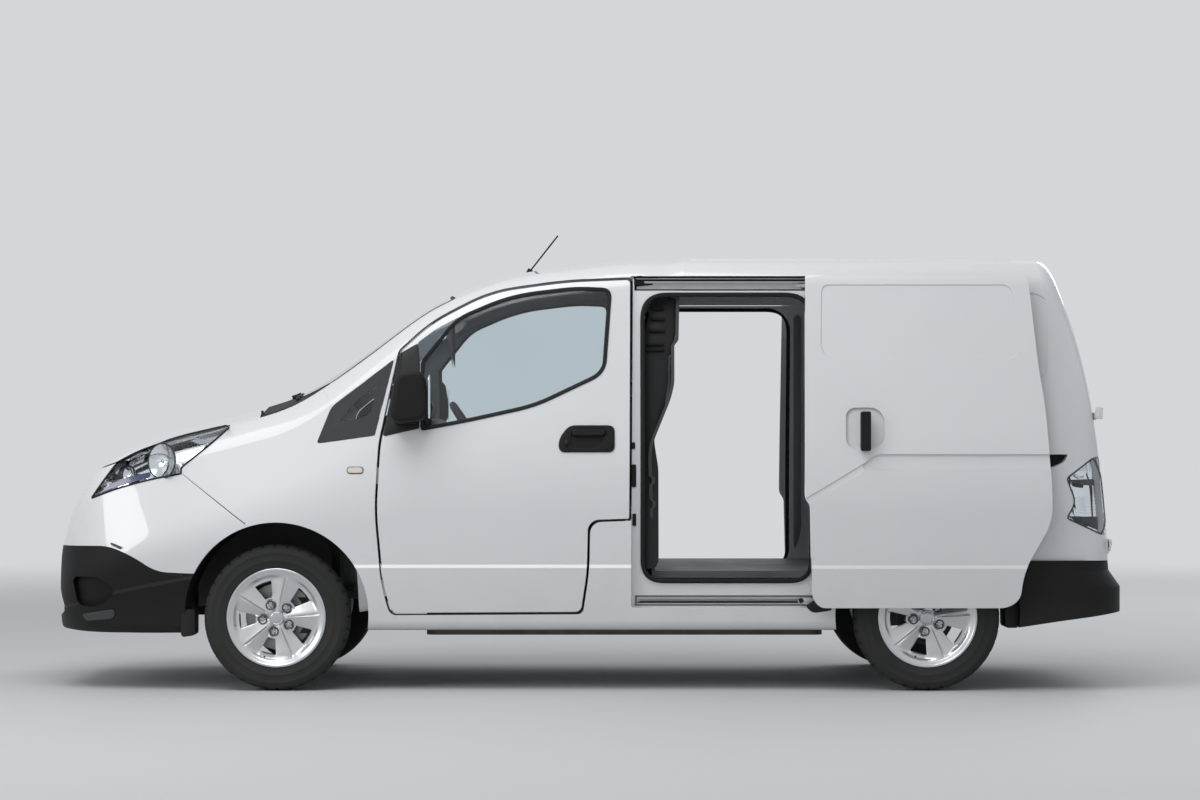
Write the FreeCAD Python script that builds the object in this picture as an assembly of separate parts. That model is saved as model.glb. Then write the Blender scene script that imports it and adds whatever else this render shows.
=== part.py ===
"""Small electric panel van, standing with both side doors slid open.

The van stands on Z = 0. X runs along it, with the nose at -X and the tail at +X.
Y = 0 is its middle plane and the left side is at -Y. Sizes are in millimetres.
"""
import FreeCAD, Part
import math
import os

V = FreeCAD.Vector

# Body
LENGTH = 4560.0
WHEELBASE = 2725.0
FRONT_OVERHANG = 970.0
TRACK = 1530.0
NOSE_X = -LENGTH / 2
TAIL_X = LENGTH / 2
FRONT_AXLE_X = NOSE_X + FRONT_OVERHANG
REAR_AXLE_X = FRONT_AXLE_X + WHEELBASE
HUB_Y = TRACK / 2

# Walls and gaps
SIDE_WALL = 90.0
NOSE_WALL = 42.0
ROOF_WALL = 45.0
SILL_WALL = 60.0
TAIL_WALL = 50.0
LEDGE_STEP = 7.0
PANEL_GAP = 6.0
DOOR_DRAFT = 10.0
SEAT_CLEAR = 0.3
GLASS_SINK = 3.0
GLASS_THICK = 5.0

# Where one panel ends and the next begins
BARREL_START_X = 400.0
BARREL_END_X = 1900.0
SILL_INNER_Y = 712.0
SCUTTLE_Y = 668.0
ROOF_SIDE_Y = 640.0
LAMP_INNER_Y = 560.0
NOSE_UNDERSIDE_X = -1960.0
BONNET_REAR_X = -1392.0
SCUTTLE_REAR_X = -1100.0
DOOR_FRONT_X = -898.0
REAR_BUMPER_FROM_X = 1795.0
REAR_BUMPER_TOP_Z = 545.0
REAR_BUMPER_LOW_Z = 258.0
REAR_DOOR_FROM_X = 1940.0
REAR_DOOR_TOP_Z = 1768.0

# Floor and cab
CAB_FLOOR_Z = 400.0
LOAD_FLOOR_Z = 500.0
FLOOR_THICK = 30.0
FIREWALL_X = -1060.0
BULKHEAD_X = 262.0
BULKHEAD_THICK = 14.0
HINGE_POST = (-985.0, -908.0, 735.0)
DASH_HALF_WIDTH = 720.0

# Wheels and axles
TYRE_R = 306.0
TYRE_WIDTH = 185.0
TYRE_SIDES = 48
RIM_R = 208.0
BEAD_R = 196.0
BARREL_R = 186.0
HUB_PAD_R = 72.0
HUB_BOSS_R = 34.0
SPOKE_FACE = -78.0
SPOKE_THICK = 34.0
SPOKE_COUNT = 5
SPOKE_START = 14.0
SPOKE_HALF_WIDTHS = (22.0, 66.0)
WINDOW_OUTER_R = 166.0
DISC_R = 140.0
DISC_THICK = 22.0
ARCH_R = 385.0
ARCH_RISE = 14.0
HUB_FACE_Y = 730.0
STEER_PIN_Y = 680.0
WHEEL_SWEEP_R = 346.0
WHEEL_BOX_Y = 640.0
ARCH_LINER_THICK = 6.0
WHEELS = (("fl", FRONT_AXLE_X, -1), ("fr", FRONT_AXLE_X, 1), ("rl", REAR_AXLE_X, -1), ("rr", REAR_AXLE_X, 1))

# Lashing points in the load floor
LASHING_X = (650.0, 1950.0)
LASHING_Y = 580.0
LASHING_R = 5.5

# Sliding doors, and the rebate in the body's side that they close into
SLIDE_DOOR_THICK = 50.0
SLIDE_OUT = 88.0
JAMB_DEPTH = 40.0
RAIL_X = (200.0, 930.0)

# Steering wheel
STEERING_CENTRE = V(-500, -370, 1060)
STEERING_AXIS = V(0.84, 0, 0.54)
STEERING_R = 185.0

# Outer body, one row for each cross-section: x, bottom height, half-width at the bottom, ledge height,
# half-width at the ledge, waist height, half-width at the waist, roof-edge height, half-width at the
# roof edge, height on the middle plane
BODY_ROWS = (
    (-2280, 262, 380, 330, 400, 430, 420, 545, 400, 600),
    (-2255, 250, 540, 335, 562, 440, 580, 630, 535, 680),
    (-2200, 245, 650, 350, 678, 460, 695, 760, 620, 822),
    (-2120, 240, 720, 370, 752, 480, 770, 880, 680, 938),
    (-2030, 238, 755, 400, 794, 520, 812, 955, 705, 1010),
    (-1850, 238, 792, 440, 832, 600, 852, 1028, 718, 1083),
    (-1560, 242, 812, 490, 850, 680, 872, 1102, 720, 1158),
    (-1262, 250, 824, 515, 856, 760, 883, 1190, 730, 1252),
    (-977, 252, 824, 522, 858, 840, 883, 1375, 728, 1433),
    (-636, 252, 824, 522, 858, 880, 883, 1612, 718, 1666),
    (-293, 252, 824, 522, 858, 900, 883, 1735, 714, 1786),
    (106, 252, 824, 522, 858, 900, 883, 1785, 724, 1828),
    (400, 252, 824, 522, 858, 900, 883, 1800, 728, 1846),
    (1900, 252, 824, 522, 858, 900, 883, 1800, 728, 1846),
    (1930, 252, 824, 522, 858, 895, 883, 1788, 726, 1838),
    (1962, 252, 823, 521, 857, 880, 882, 1748, 724, 1806),
    (1992, 253, 821, 520, 855, 850, 880, 1680, 726, 1748),
    (2030, 254, 817, 518, 851, 810, 875, 1575, 734, 1652),
    (2070, 256, 810, 512, 845, 760, 868, 1440, 746, 1522),
    (2105, 258, 800, 500, 836, 700, 858, 1285, 758, 1370),
    (2135, 260, 786, 480, 822, 640, 844, 1105, 762, 1196),
    (2160, 263, 766, 450, 802, 580, 822, 905, 758, 1002),
    (2178, 266, 744, 420, 778, 520, 796, 700, 746, 800),
    (2190, 270, 716, 400, 748, 470, 762, 560, 722, 640),
)
FRONT_STATIONS = (-2280, -2262, -2235, -2200, -2155, -2100, -2030, -1940, -1830, -1700, -1560, -1415,
                  -1262, -1115, -977, -830, -680, -520, -350, -160, 40, 220, 400)
REAR_STATIONS = (1900, 1930, 1962, 1992, 2030, 2070, 2105, 2135, 2160, 2178, 2190)

# Outlines of the left side, each point as x, height and how far before the corner its rounding starts
FRONT_DOOR = ((-898, 751, 70), (-872, 444, 90), (-836, 316, 28), (-27, 320, 24), (0, 500, 60), (4, 706, 46),
              (176, 712, 8), (184, 1738, 16), (-100, 1728, 90), (-420, 1684, 110), (-671, 1552, 90),
              (-805, 1428, 18), (-884, 1035, 40))
DOOR_WINDOW = ((-706, 1380, 12), (-560, 1564, 60), (-330, 1662, 110), (-60, 1694, 60), (92, 1688, 40),
               (66, 1330, 60), (-228, 1190, 80), (-505, 1129, 60), (-704, 1091, 8))
QUARTER_GLASS = ((-822, 1392, 12), (-1086, 1190, 24), (-1146, 1034, 14), (-899, 1068, 10))
SLIDE_OPENING = ((217, 452, 95), (937, 452, 95), (937, 1670, 110), (217, 1670, 110))
BUMPER_SIDE = ((-2400, 150, 0), (-1440, 150, 0), (-1440, 491, 0), (-1683, 491, 20), (-1814, 498, 50),
               (-1912, 562, 50), (-2018, 606, 50), (-2400, 600, 0))
HEADLAMP = ((-2110, 800, 12), (-1983, 847, 60), (-1842, 884, 60), (-1714, 907, 0), (-1719, 931, 0),
            (-1588, 1038, 60), (-1525, 1100, 0), (-1525, 1115, 0), (-1736, 1067, 60), (-1912, 1002, 40),
            (-2003, 953, 0))
BONNET_SIDE = ((-2400, 880, 0), (-2142, 908, 0), (-2003, 953, 0), (-1912, 1002, 40), (-1736, 1067, 60),
               (-1525, 1115, 0), (-1470, 1148, 20), (BONNET_REAR_X, 1190, 0), (BONNET_REAR_X, 1500, 0),
               (-2400, 1500, 0))
BONNET_MIDDLE = ((-2400, 880, 0), (-2142, 908, 0), (-2003, 953, 0), (-1912, 960, 0), (-1736, 1010, 0),
                 (BONNET_REAR_X, 1060, 0), (BONNET_REAR_X, 1500, 0), (-2400, 1500, 0))
WING = ((-815, 150, 0), (-815, 340, 0), (-850, 460, 0), (-880, 751, 0), (-868, 1071, 0), (-1120, 1037, 0),
        (-1086, 1190, 10), (-1140, 1303, 8), (BONNET_REAR_X, 1303, 0), (BONNET_REAR_X, 1190, 0),
        (-1470, 1148, 20), (-1525, 1115, 0), (-1525, 1100, 0), (-1588, 1038, 60), (-1719, 931, 0),
        (-1714, 907, 0), (-1440, 697, 0), (-1440, 150, 0))
TAIL_LAMP = ((2117, 980, 20), (1992, 891, 14), (2030, 790, 30), (1992, 722, 14), (2146, 652, 10),
             (2400, 652, 0), (2400, 980, 0))
SLIDE_DOOR = ((904, 1742, 12), (896, 808, 20), (918, 777, 14), (926, 395, 30), (958, 350, 30),
              (1739, 350, 40), (1792, 385, 40), (1807, 502, 60), (1922, 710, 60), (1922, 830, 60),
              (1897, 1198, 120), (1874, 1345, 120), (1837, 1740, 12))
SLIDE_PRESSING = ((972, 1700, 30), (966, 1425, 30), (1010, 1385, 30), (1800, 1385, 60), (1768, 1700, 40))
SLIDE_SWAGE = ((1120, 926, 30), (1180, 990, 40), (1960, 990, 0), (1960, 930, 0))
SLIDE_CREASE = ((880, 770, 0), (880, 796, 0), (1150, 958, 0), (1160, 930, 0))
SLIDE_GRIP = ((1067, 1015, 40), (1067, 1184, 40), (1226, 1184, 60), (1226, 1015, 60))
JAMB = ((175, 348, 12), (175, 1742, 0), (985, 1742, 0), (985, 348, 30))
RAIL_END = ((1880, 930, 0), (1880, 990, 0), (2002, 990, 8), (1985, 958, 40), (1930, 932, 30))
QUARTER_PRESSING = ((1700, 1290, 0), (1922, 1308, 50), (1930, 1640, 50), (1880, 1668, 20), (1700, 1668, 0))
DOOR_GRIP = ((-120, 1004, 26), (-120, 1086, 50), (-80, 1104, 20), (100, 1104, 26), (100, 1004, 26))
FOG_RECESS = ((-2185, 474, 24), (-2060, 474, 40), (-2000, 428, 30), (-2004, 392, 20), (-2070, 345, 50),
              (-2160, 352, 30))
INTAKE = ((-2400, 482, 0), (-2286, 462, 0), (-2234, 348, 8), (-2234, 322, 6), (-2266, 300, 6),
          (-2400, 290, 0))
FOG_DEPTH = 34.0
MOUTH_HALF_WIDTH = 350.0
MOUTH_BARS = (352.0, 374.0, 396.0, 418.0)
MOUTH_BAR_HEIGHT = 7.0
BULKHEAD = ((BULKHEAD_X, LOAD_FLOOR_Z, 0), (BULKHEAD_X - 16, 1020, 60), (330, 1225, 30), (345, 1290, 20),
            (345, 1452, 8), (363, 1472, 8), (372, 1900, 0))

# Joints between fixed panels, each as x and height of its two ends
WING_JOINTS = ((-1716, 907, -1438, 697), (-1140, 1303, -1085, 1188))
JOINT_WIDTH = 3.0

# Swages across the bulkhead, each by its lowest height, and the swages along the roof
BULKHEAD_SWAGES = (560.0, 660.0, 760.0, 860.0)
SWAGE_HEIGHT = 40.0
SWAGE_DEPTH = 12.0
ROOF_SWAGES = ((75, 1845.6), (225, 1842.0), (375, 1832.0))
ROOF_SWAGE_X = (430.0, 1820.0)
ROOF_SWAGE_R = 24.0
ROOF_SWAGE_PROUD = 5.0

# Outlines seen from the rear, each point as y, height and rounding
REAR_DOOR = ((-735, 566, 20), (-740, 900, 60), (-655, 1700, 60), (-600, REAR_DOOR_TOP_Z, 40),
             (2, REAR_DOOR_TOP_Z, 0), (2, 566, 0))
REAR_WINDOW = ((-70, 1200, 40), (-610, 1200, 50), (-572, 1640, 60), (-70, 1640, 40))

# Outline seen from above of the left half of the windscreen, each point as x, y and rounding
WINDSCREEN = ((-1288, 20, 0), (-1288, -260, 60), (-1255, -420, 80), (-1120, -664, 60), (-960, -668, 60),
              (-570, -632, 40), (-600, -300, 100), (-608, 20, 0))

PARTS = {}


def soft_wire(points, setbacks):
    """Closed outline of lines with a tangent arc at each corner that starts a setback before the corner."""
    count = len(points)
    corners = []
    for i in range(count):
        corner = points[i]
        to_last, to_next = points[i - 1] - corner, points[(i + 1) % count] - corner
        back = min(setbacks[i], 0.48 * to_last.Length, 0.48 * to_next.Length)
        to_last.normalize()
        to_next.normalize()
        if back <= 0:
            corners.append((corner, None, corner))
            continue
        half = math.acos(max(-1.0, min(1.0, to_last.dot(to_next)))) / 2
        radius = back * math.tan(half)
        inward = (to_last + to_next).normalize()
        middle = corner + inward * (radius / math.sin(half) - radius)
        corners.append((corner + to_last * back, middle, corner + to_next * back))
    edges = []
    for i in range(count):
        start, middle, end = corners[i]
        if middle is not None:
            edges.append(Part.Arc(start, middle, end).toShape())
        following = corners[(i + 1) % count][0]
        if (following - end).Length > 1e-6:
            edges.append(Part.makeLine(end, following))
    return Part.Wire(edges)


def side_point(u, v, depth):
    return V(u, depth, v)


def tail_point(u, v, depth):
    return V(depth, u, v)


def plan_point(u, v, depth):
    return V(u, v, depth)


def prism(place, outline, low, high):
    """Straight solid over an outline, between two depths along the axis that the view looks along."""
    wire = soft_wire([place(u, v, low) for u, v, _ in outline], [s for _, _, s in outline])
    return Part.Face(wire).extrude(place(0, 0, high) - place(0, 0, low))


def side_prism(outline, y_low, y_high):
    return prism(side_point, outline, y_low, y_high)


def tail_prism(outline, x_low, x_high):
    return prism(tail_point, outline, x_low, x_high)


def plan_prism(outline, z_low, z_high):
    return prism(plan_point, outline, z_low, z_high)


def drawn_in(outline, inset):
    """Outline with every side moved inwards by the same distance."""
    count = len(outline)
    corners = [V(u, v, 0) for u, v, _ in outline]
    area = sum(corners[i].cross(corners[(i + 1) % count]).z for i in range(count))
    turn = 1 if area > 0 else -1
    moved = []
    for i in range(count):
        last, following = corners[i] - corners[i - 1], corners[(i + 1) % count] - corners[i]
        last.normalize()
        following.normalize()
        middle = V(-last.y - following.y, last.x + following.x, 0) * turn
        corner = corners[i] + middle * (2 * inset / middle.dot(middle))
        moved.append((corner.x, corner.y, outline[i][2]))
    return moved


def drafted_prism(place, outline, inset, outer, inner, draft):
    """Outline drawn in by a gap at its outer depth and by the gap and the draft at its inner depth."""
    wires = []
    for depth, amount in ((outer, inset), (inner, inset + draft)):
        ring = drawn_in(outline, amount)
        wires.append(soft_wire([place(u, v, depth) for u, v, _ in ring], [s for _, _, s in ring]))
    return Part.makeLoft(wires, True, True)


def box(x_low, x_high, y_low, y_high, z_low, z_high):
    return Part.makeBox(x_high - x_low, y_high - y_low, z_high - z_low, V(x_low, y_low, z_low))


def rod(start, end, radius):
    axis = end - start
    return Part.makeCylinder(radius, axis.Length, start, axis)


def drum(x, z, y_low, y_high, radius):
    return Part.makeCylinder(radius, y_high - y_low, V(x, y_low, z), V(0, 1, 0))


def tube(x, z, y_low, y_high, outer_r, inner_r):
    return drum(x, z, y_low, y_high, outer_r).cut(drum(x, z, y_low - 1, y_high + 1, inner_r))


def wheel_house(axle_x, radius, y_low, y_high):
    return drum(axle_x, TYRE_R + ARCH_RISE, y_low, y_high, radius)


def mirrored(shape):
    return shape.mirror(V(0, 0, 0), V(0, 1, 0))


def joined(shapes):
    first, rest = shapes[0], list(shapes[1:])
    return first.fuse(rest).removeSplitter() if rest else first


def both_halves(left):
    """Left half joined with its own mirror image across the middle plane."""
    return left.fuse(mirrored(left)).removeSplitter()


def both_sides(left):
    """Left piece and its mirror image as two solids of one node."""
    return Part.makeCompound(left.Solids + mirrored(left).Solids)


def add_pair(name, left):
    """Left piece and its mirror image as two nodes."""
    PARTS[name + "_left"] = left
    PARTS[name + "_right"] = mirrored(left)


def largest(pieces):
    return max(pieces, key=lambda piece: piece.Volume)


def nearest(pieces, x, z):
    return min(pieces, key=lambda piece: math.hypot(piece.CenterOfMass.x - x, piece.CenterOfMass.z - z))


def table_value(column, x):
    """One column of the body table at a station, by a cubic that never overshoots its rows."""
    xs, values = [row[0] for row in BODY_ROWS], [row[column] for row in BODY_ROWS]
    steps = [(values[i + 1] - values[i]) / (xs[i + 1] - xs[i]) for i in range(len(xs) - 1)]
    slopes = [steps[0]]
    for before, after in zip(steps, steps[1:]):
        slopes.append(0.0 if before * after <= 0 else 2 * before * after / (before + after))
    slopes.append(steps[-1])
    i = max(0, min(len(xs) - 2, sum(1 for value in xs if value <= x) - 1))
    span = xs[i + 1] - xs[i]
    t = (x - xs[i]) / span
    return ((2 * t**3 - 3 * t**2 + 1) * values[i] + (t**3 - 2 * t**2 + t) * span * slopes[i]
            + (3 * t**2 - 2 * t**3) * values[i + 1] + (t**3 - t**2) * span * slopes[i + 1])


def half_section(x_place, x_row, side, top, low):
    """Left half of one cross-section at x_place, with the sizes of station x_row, taken in by the walls."""
    (z_bottom, y_bottom, z_ledge, y_ledge, z_waist, y_waist, z_edge, y_edge, z_top) = (
        table_value(column, x_row) for column in range(1, 10))
    z_bottom += low
    y_bottom, y_ledge, y_waist, y_edge = y_bottom - side, y_ledge - side, y_waist - side, y_edge - 0.6 * side
    z_ledge = max(z_ledge, z_bottom + 30)
    z_edge, z_top = z_edge - top, z_top - top
    step = LEDGE_STEP if side < NOSE_WALL / 2 else 0.0
    crown_y = 0.4 * y_edge
    crown_z = z_edge + (z_top - z_edge) * 0.6 / 0.7
    points = [V(x_place, 0, z_top), V(x_place, 0, z_bottom), V(x_place, -y_bottom, z_bottom),
              V(x_place, -y_ledge - step / 2, z_ledge - step)]
    backs = [0, 0, 40, 0]
    if step:
        points.append(V(x_place, -y_ledge + step / 2, z_ledge + step))
        backs.append(0)
    points += [V(x_place, -y_waist, z_waist), V(x_place, -y_edge, z_edge), V(x_place, -crown_y, crown_z)]
    backs += [230, 105, 0]
    return crowned(soft_wire(points, backs), points[0], points[-1])


def crowned(wire, top, crown):
    """Wire with its straight piece between crown and top swapped for an arc that is level at the top."""
    reach, drop = abs(crown.y - top.y), top.z - crown.z
    radius = (reach * reach + drop * drop) / (2 * drop)
    half = math.asin(reach / radius) / 2
    middle = V(top.x, -radius * math.sin(half), top.z - radius + radius * math.cos(half))
    edges = []
    for edge in wire.Edges:
        ends = [vertex.Point for vertex in edge.Vertexes]
        is_crown = all(min((point - top).Length, (point - crown).Length) < 1e-6 for point in ends)
        edges.append(Part.Arc(crown, middle, top).toShape() if is_crown else edge)
    return Part.Wire(edges)


def half_volume(side_wall, nose_wall, top, low, end):
    """Left half of the body volume, taken in by its walls: lofted nose, straight barrel and lofted tail."""
    def side_at(x):
        share = min(1.0, max(0.0, (x + 1130) / 220))
        return nose_wall + (side_wall - nose_wall) * share * share * (3 - 2 * share)

    def place(x):
        nose = max(0.0, min(1.0, (-1900 - x) / 380))
        tail = max(0.0, min(1.0, (x - BARREL_END_X) / 120))
        return x + end * nose - end * tail

    nose_sections = [half_section(place(x), x, side_at(x), top, low) for x in FRONT_STATIONS]
    tail_sections = [half_section(place(x), x, side_wall, top, low) for x in REAR_STATIONS]
    middle = barrel(BARREL_START_X, BARREL_END_X, side_wall, top, low)
    tail = Part.makeLoft(tail_sections, True, False)
    return Part.makeLoft(nose_sections, True, False).fuse([middle, tail])


def barrel(x_low, x_high, side, top, low):
    """Left half of the straight middle of the body."""
    face = Part.Face(half_section(x_low, BARREL_START_X, side, top, low))
    return face.extrude(V(x_high - x_low, 0, 0))


def glass_layer():
    """Thin layer just inside the outer surface of the front of the body."""
    layers = [Part.makeLoft([half_section(x, x, inset, inset, inset) for x in FRONT_STATIONS], True, False)
              for inset in (GLASS_SINK, GLASS_SINK + GLASS_THICK)]
    return layers[0].cut(layers[1])


def partition(solid, regions):
    """Cut a solid by all regions at once. Each piece goes to the first region in the table that holds it."""
    _, history = solid.generalFuse([shape for _, shape in regions])
    found = {name: [] for name, _ in regions}
    found["rest"] = []
    for piece in history[0]:
        holders = [name for (name, _), parts in zip(regions, history[1:])
                   if any(piece.isSame(other) for other in parts)]
        found[holders[0] if holders else "rest"].append(piece)
    return found


def panel_regions():
    """Regions of the left half wall, in the order in which they claim what they hold."""
    out, over = -1100, 20
    return [
        ("arch_gap", wheel_house(FRONT_AXLE_X, ARCH_R, out, -SILL_INNER_Y + 30)),
        ("arch_gap", wheel_house(REAR_AXLE_X, ARCH_R, out, -SILL_INNER_Y + 30)),
        ("underside_gap", box(NOSE_UNDERSIDE_X, REAR_BUMPER_FROM_X, -SILL_INNER_Y, over, 150, 520)),
        ("front_bumper", side_prism(BUMPER_SIDE, out, over)),
        ("headlamps", side_prism(HEADLAMP, out, -LAMP_INNER_Y)),
        ("bonnet", side_prism(BONNET_SIDE, out, -SCUTTLE_Y)),
        ("bonnet", side_prism(BONNET_MIDDLE, -SCUTTLE_Y, over)),
        ("windscreen_gap", plan_prism(WINDSCREEN, 1150, 1900)),
        ("scuttle", box(BONNET_REAR_X, SCUTTLE_REAR_X, -SCUTTLE_Y, over, 1000, 1400)),
        ("front_door", side_prism(FRONT_DOOR, out, -ROOF_SIDE_Y - 1)),
        ("quarter_gap", side_prism(QUARTER_GLASS, out, -500)),
        ("front_wings", side_prism(WING, out, -SCUTTLE_Y)),
        ("slide_gap", side_prism(SLIDE_OPENING, out, -500)),
        ("rear_door", tail_prism(REAR_DOOR, REAR_DOOR_FROM_X, 2400)),
        ("tail_lamps", side_prism(TAIL_LAMP, out, -LAMP_INNER_Y)),
        ("rear_bumper_gap", box(REAR_BUMPER_FROM_X, 2400, out, over, 150, REAR_BUMPER_TOP_Z)),
        ("roof", box(-700, REAR_DOOR_FROM_X, -ROOF_SIDE_Y, over, 1500, 1950)),
        ("roof", box(REAR_DOOR_FROM_X, 2400, -ROOF_SIDE_Y, over, REAR_DOOR_TOP_Z, 1950)),
    ]


def hinge_pads():
    """Pads at the wing's rear edge that reach to the front door's edge."""
    pads = []
    for z in (430, 900):
        pad = box(DOOR_FRONT_X - 10, -850, -830, -795, z - 35, z + 35)
        pad = pad.common(side_prism(FRONT_DOOR, -1100, -500))
        pad = pad.cut(drafted_prism(side_point, FRONT_DOOR, PANEL_GAP - SEAT_CLEAR, -1100, -500, DOOR_DRAFT))
        pads.append(nearest(pad.Solids, DOOR_FRONT_X, z))
    return pads


def panel_joint(x_start, z_start, x_end, z_end):
    """Narrow slot along a straight joint between two panels."""
    along = V(x_end - x_start, 0, z_end - z_start).normalize()
    across = V(-along.z, 0, along.x) * JOINT_WIDTH
    corners = [V(x_start, -1000, z_start), V(x_end, -1000, z_end)]
    corners += [corner + across for corner in reversed(corners)]
    return Part.Face(Part.makePolygon(corners + corners[:1])).extrude(V(0, 400, 0))


def roof_swages():
    """Long shallow ribs that stiffen the roof."""
    start, end = ROOF_SWAGE_X
    sunk = ROOF_SWAGE_R - ROOF_SWAGE_PROUD
    return [rod(V(start, -y, z - sunk), V(end, -y, z - sunk), ROOF_SWAGE_R) for y, z in ROOF_SWAGES]


def front_bumper_half(shell):
    """Left half of the bumper with its sunken air intake, intake bars and fog lamp recess."""
    sections = [half_section(x, x, FOG_DEPTH, FOG_DEPTH, 0) for x in FRONT_STATIONS[1:9]]
    fog = side_prism(FOG_RECESS, -1000, -LAMP_INNER_Y).cut(Part.makeLoft(sections, True, False))
    intake = side_prism(INTAKE, -700, 10)
    backing = box(-2240, -2214, -LAMP_INNER_Y, 0, 296, 474)
    mouth = box(-2300, -2226, -MOUTH_HALF_WIDTH, 0, 345, 432)
    shell = joined([shell, backing]).cut([intake, mouth, fog])
    lips = intake.cut(mouth)
    bars = [box(-2262, -2230, -MOUTH_HALF_WIDTH, 0, z, z + MOUTH_BAR_HEIGHT).cut(lips) for z in MOUTH_BARS]
    return joined([largest(shell.Solids)] + bars)


def make_fixed_panels(panels, layer):
    """Outer panels and glass that stay on the body."""
    PARTS["front_bumper"] = both_halves(front_bumper_half(largest(panels["front_bumper"])))
    PARTS["front_fascia"] = both_halves(nearest(panels["rest"], -2038, 745))
    PARTS["roof"] = both_halves(joined(panels["roof"] + roof_swages()))
    PARTS["headlamps"] = both_sides(largest(panels["headlamps"]))
    PARTS["tail_lamps"] = both_sides(largest(panels["tail_lamps"]))
    wing = joined(panels["front_wings"] + hinge_pads()).cut([panel_joint(*ends) for ends in WING_JOINTS])
    PARTS["front_wings"] = both_sides(largest(wing.Solids))
    PARTS["windscreen"] = both_halves(layer.common(plan_prism(WINDSCREEN, 1150, 1900)))
    PARTS["quarter_glasses"] = both_sides(layer.common(side_prism(QUARTER_GLASS, -1100, -500)))


def make_rear_bumper(inner):
    """Bumper that wraps the lower tail, stepped out below its top edge."""
    rings = []
    for z, step in ((REAR_BUMPER_LOW_Z, 0), (434, 0), (502, 48), (REAR_BUMPER_TOP_Z, 52)):
        outline = ((REAR_BUMPER_FROM_X, 20, 0), (REAR_BUMPER_FROM_X, -868, 0), (2120 - step, -868, 110),
                   (2240 - step, -765, 130), (TAIL_X - step, 0, 400), (TAIL_X - step, 20, 0))
        rings.append(soft_wire([V(x, y, z) for x, y, _ in outline], [s for _, _, s in outline]))
    hollow = ((REAR_BUMPER_FROM_X - 10, 30, 0), (REAR_BUMPER_FROM_X - 10, -790, 0), (2080, -790, 60),
              (2165, -700, 60), (2190, 30, 0))
    underside = side_prism(((1700, 150, 0), (1700, 252, 0), (1990, 296, 60), (2400, 350, 0), (2400, 150, 0)),
                           -1000, 30)
    left = Part.makeLoft(rings, True, True).cut([
        plan_prism(hollow, 200, 500), wheel_house(REAR_AXLE_X, ARCH_R, -1000, 30), inner, underside,
        box(REAR_BUMPER_FROM_X - 20, TAIL_X + 20, 0, 100, 200, 600)])
    PARTS["rear_bumper"] = both_halves(largest(left.Solids))


def steering_sweep():
    """Space that the left front tyre turns in when it is steered."""
    return Part.makeCylinder(WHEEL_SWEEP_R, 2 * TYRE_R + 30, V(FRONT_AXLE_X, -STEER_PIN_Y, 0))


def hinge_post():
    """Post that stands on the sill inside the wing, behind the wheel, and carries the front door."""
    return box(HINGE_POST[0], HINGE_POST[1], -900, -HINGE_POST[2], 300, 1110).cut(steering_sweep())


def c_rail(y_outer, y_inner, z_low, z_high, slot_z_low, slot_z_high):
    """Rail with a slot along its outer face, for the rollers of a sliding door."""
    rail = box(RAIL_X[0], RAIL_X[1], y_outer, y_inner, z_low, z_high)
    return rail.cut(box(RAIL_X[0] - 5, RAIL_X[1] + 5, y_outer - 5, y_inner - 10, slot_z_low, slot_z_high))


def make_body_side(panels, inner):
    """Side frame with sill and pillars, the door rebate with its two rail channels, and the hinge post."""
    rebate = side_prism(JAMB, -1000, -500).cut(barrel(100, 1100, JAMB_DEPTH, 0, 0))
    pressing = side_prism(QUARTER_PRESSING, -1000, -500).cut(barrel(1600, 2000, 4, 0, 0))
    channels = [box(RAIL_X[0] - 10, RAIL_X[1] + 10, -900, -680, 1680, 1730),
                box(RAIL_X[0] - 10, RAIL_X[1] + 10, -900, -765, 354, 398)]
    side = largest(panels["rest"]).cut([rebate, pressing, side_prism(RAIL_END, -1000, -825)] + channels)
    side = joined([largest(side.Solids), hinge_post().common(inner)])
    rails = [c_rail(-702, -680, 1688, 1722, 1697, 1713), c_rail(-795, -765, 360, 392, 369, 383)]
    PARTS["slide_rails"] = Part.makeCompound(rails + [mirrored(rail) for rail in rails])
    add_pair("body_side", largest(side.Solids))


def make_scuttle(panels):
    """Panel between bonnet and windscreen, with the bonnet's hinge blocks."""
    panel = largest(panels["scuttle"])
    block = box(BONNET_REAR_X - PANEL_GAP + 1 + SEAT_CLEAR, BONNET_REAR_X, -620, -560, 1150, 1176)
    PARTS["scuttle"] = both_halves(joined([panel, block]))


def make_bonnet(panels):
    slab = joined(panels["bonnet"])
    side = side_prism(drawn_in(BONNET_SIDE, PANEL_GAP - 1), -1100, -SCUTTLE_Y)
    middle = side_prism(drawn_in(BONNET_MIDDLE, PANEL_GAP - 1), -SCUTTLE_Y, 20)
    PARTS["bonnet"] = both_halves(slab.common(joined([side, middle])))


def make_front_doors(panels, layer):
    """Front doors with their glass and mirrors."""
    slab = joined(panels["front_door"])
    window = side_prism(DOOR_WINDOW, -1100, -400)
    door = slab.common(drafted_prism(side_point, FRONT_DOOR, PANEL_GAP, -1100, -500, DOOR_DRAFT))
    door = door.cut([window, side_prism(DOOR_GRIP, -1000, -862)])
    add_pair("front_door", largest(door.Solids))
    add_pair("door_glass", layer.common(window))
    arm = plan_prism(((-812, -790, 8), (-812, -905, 20), (-770, -960, 20), (-715, -960, 20),
                      (-745, -790, 8)), 1118, 1146)
    housing = side_prism(((-828, 1150, 40), (-800, 1330, 45), (-690, 1342, 40), (-664, 1180, 40),
                          (-690, 1130, 20), (-800, 1120, 30)), -1005, -878)
    rims = [edge for edge in housing.Edges if edge.BoundBox.YMax < -1004]
    mirror = joined([housing.makeFillet(22, rims), arm]).cut(door)
    add_pair("mirror", largest(mirror.Solids))


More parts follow.
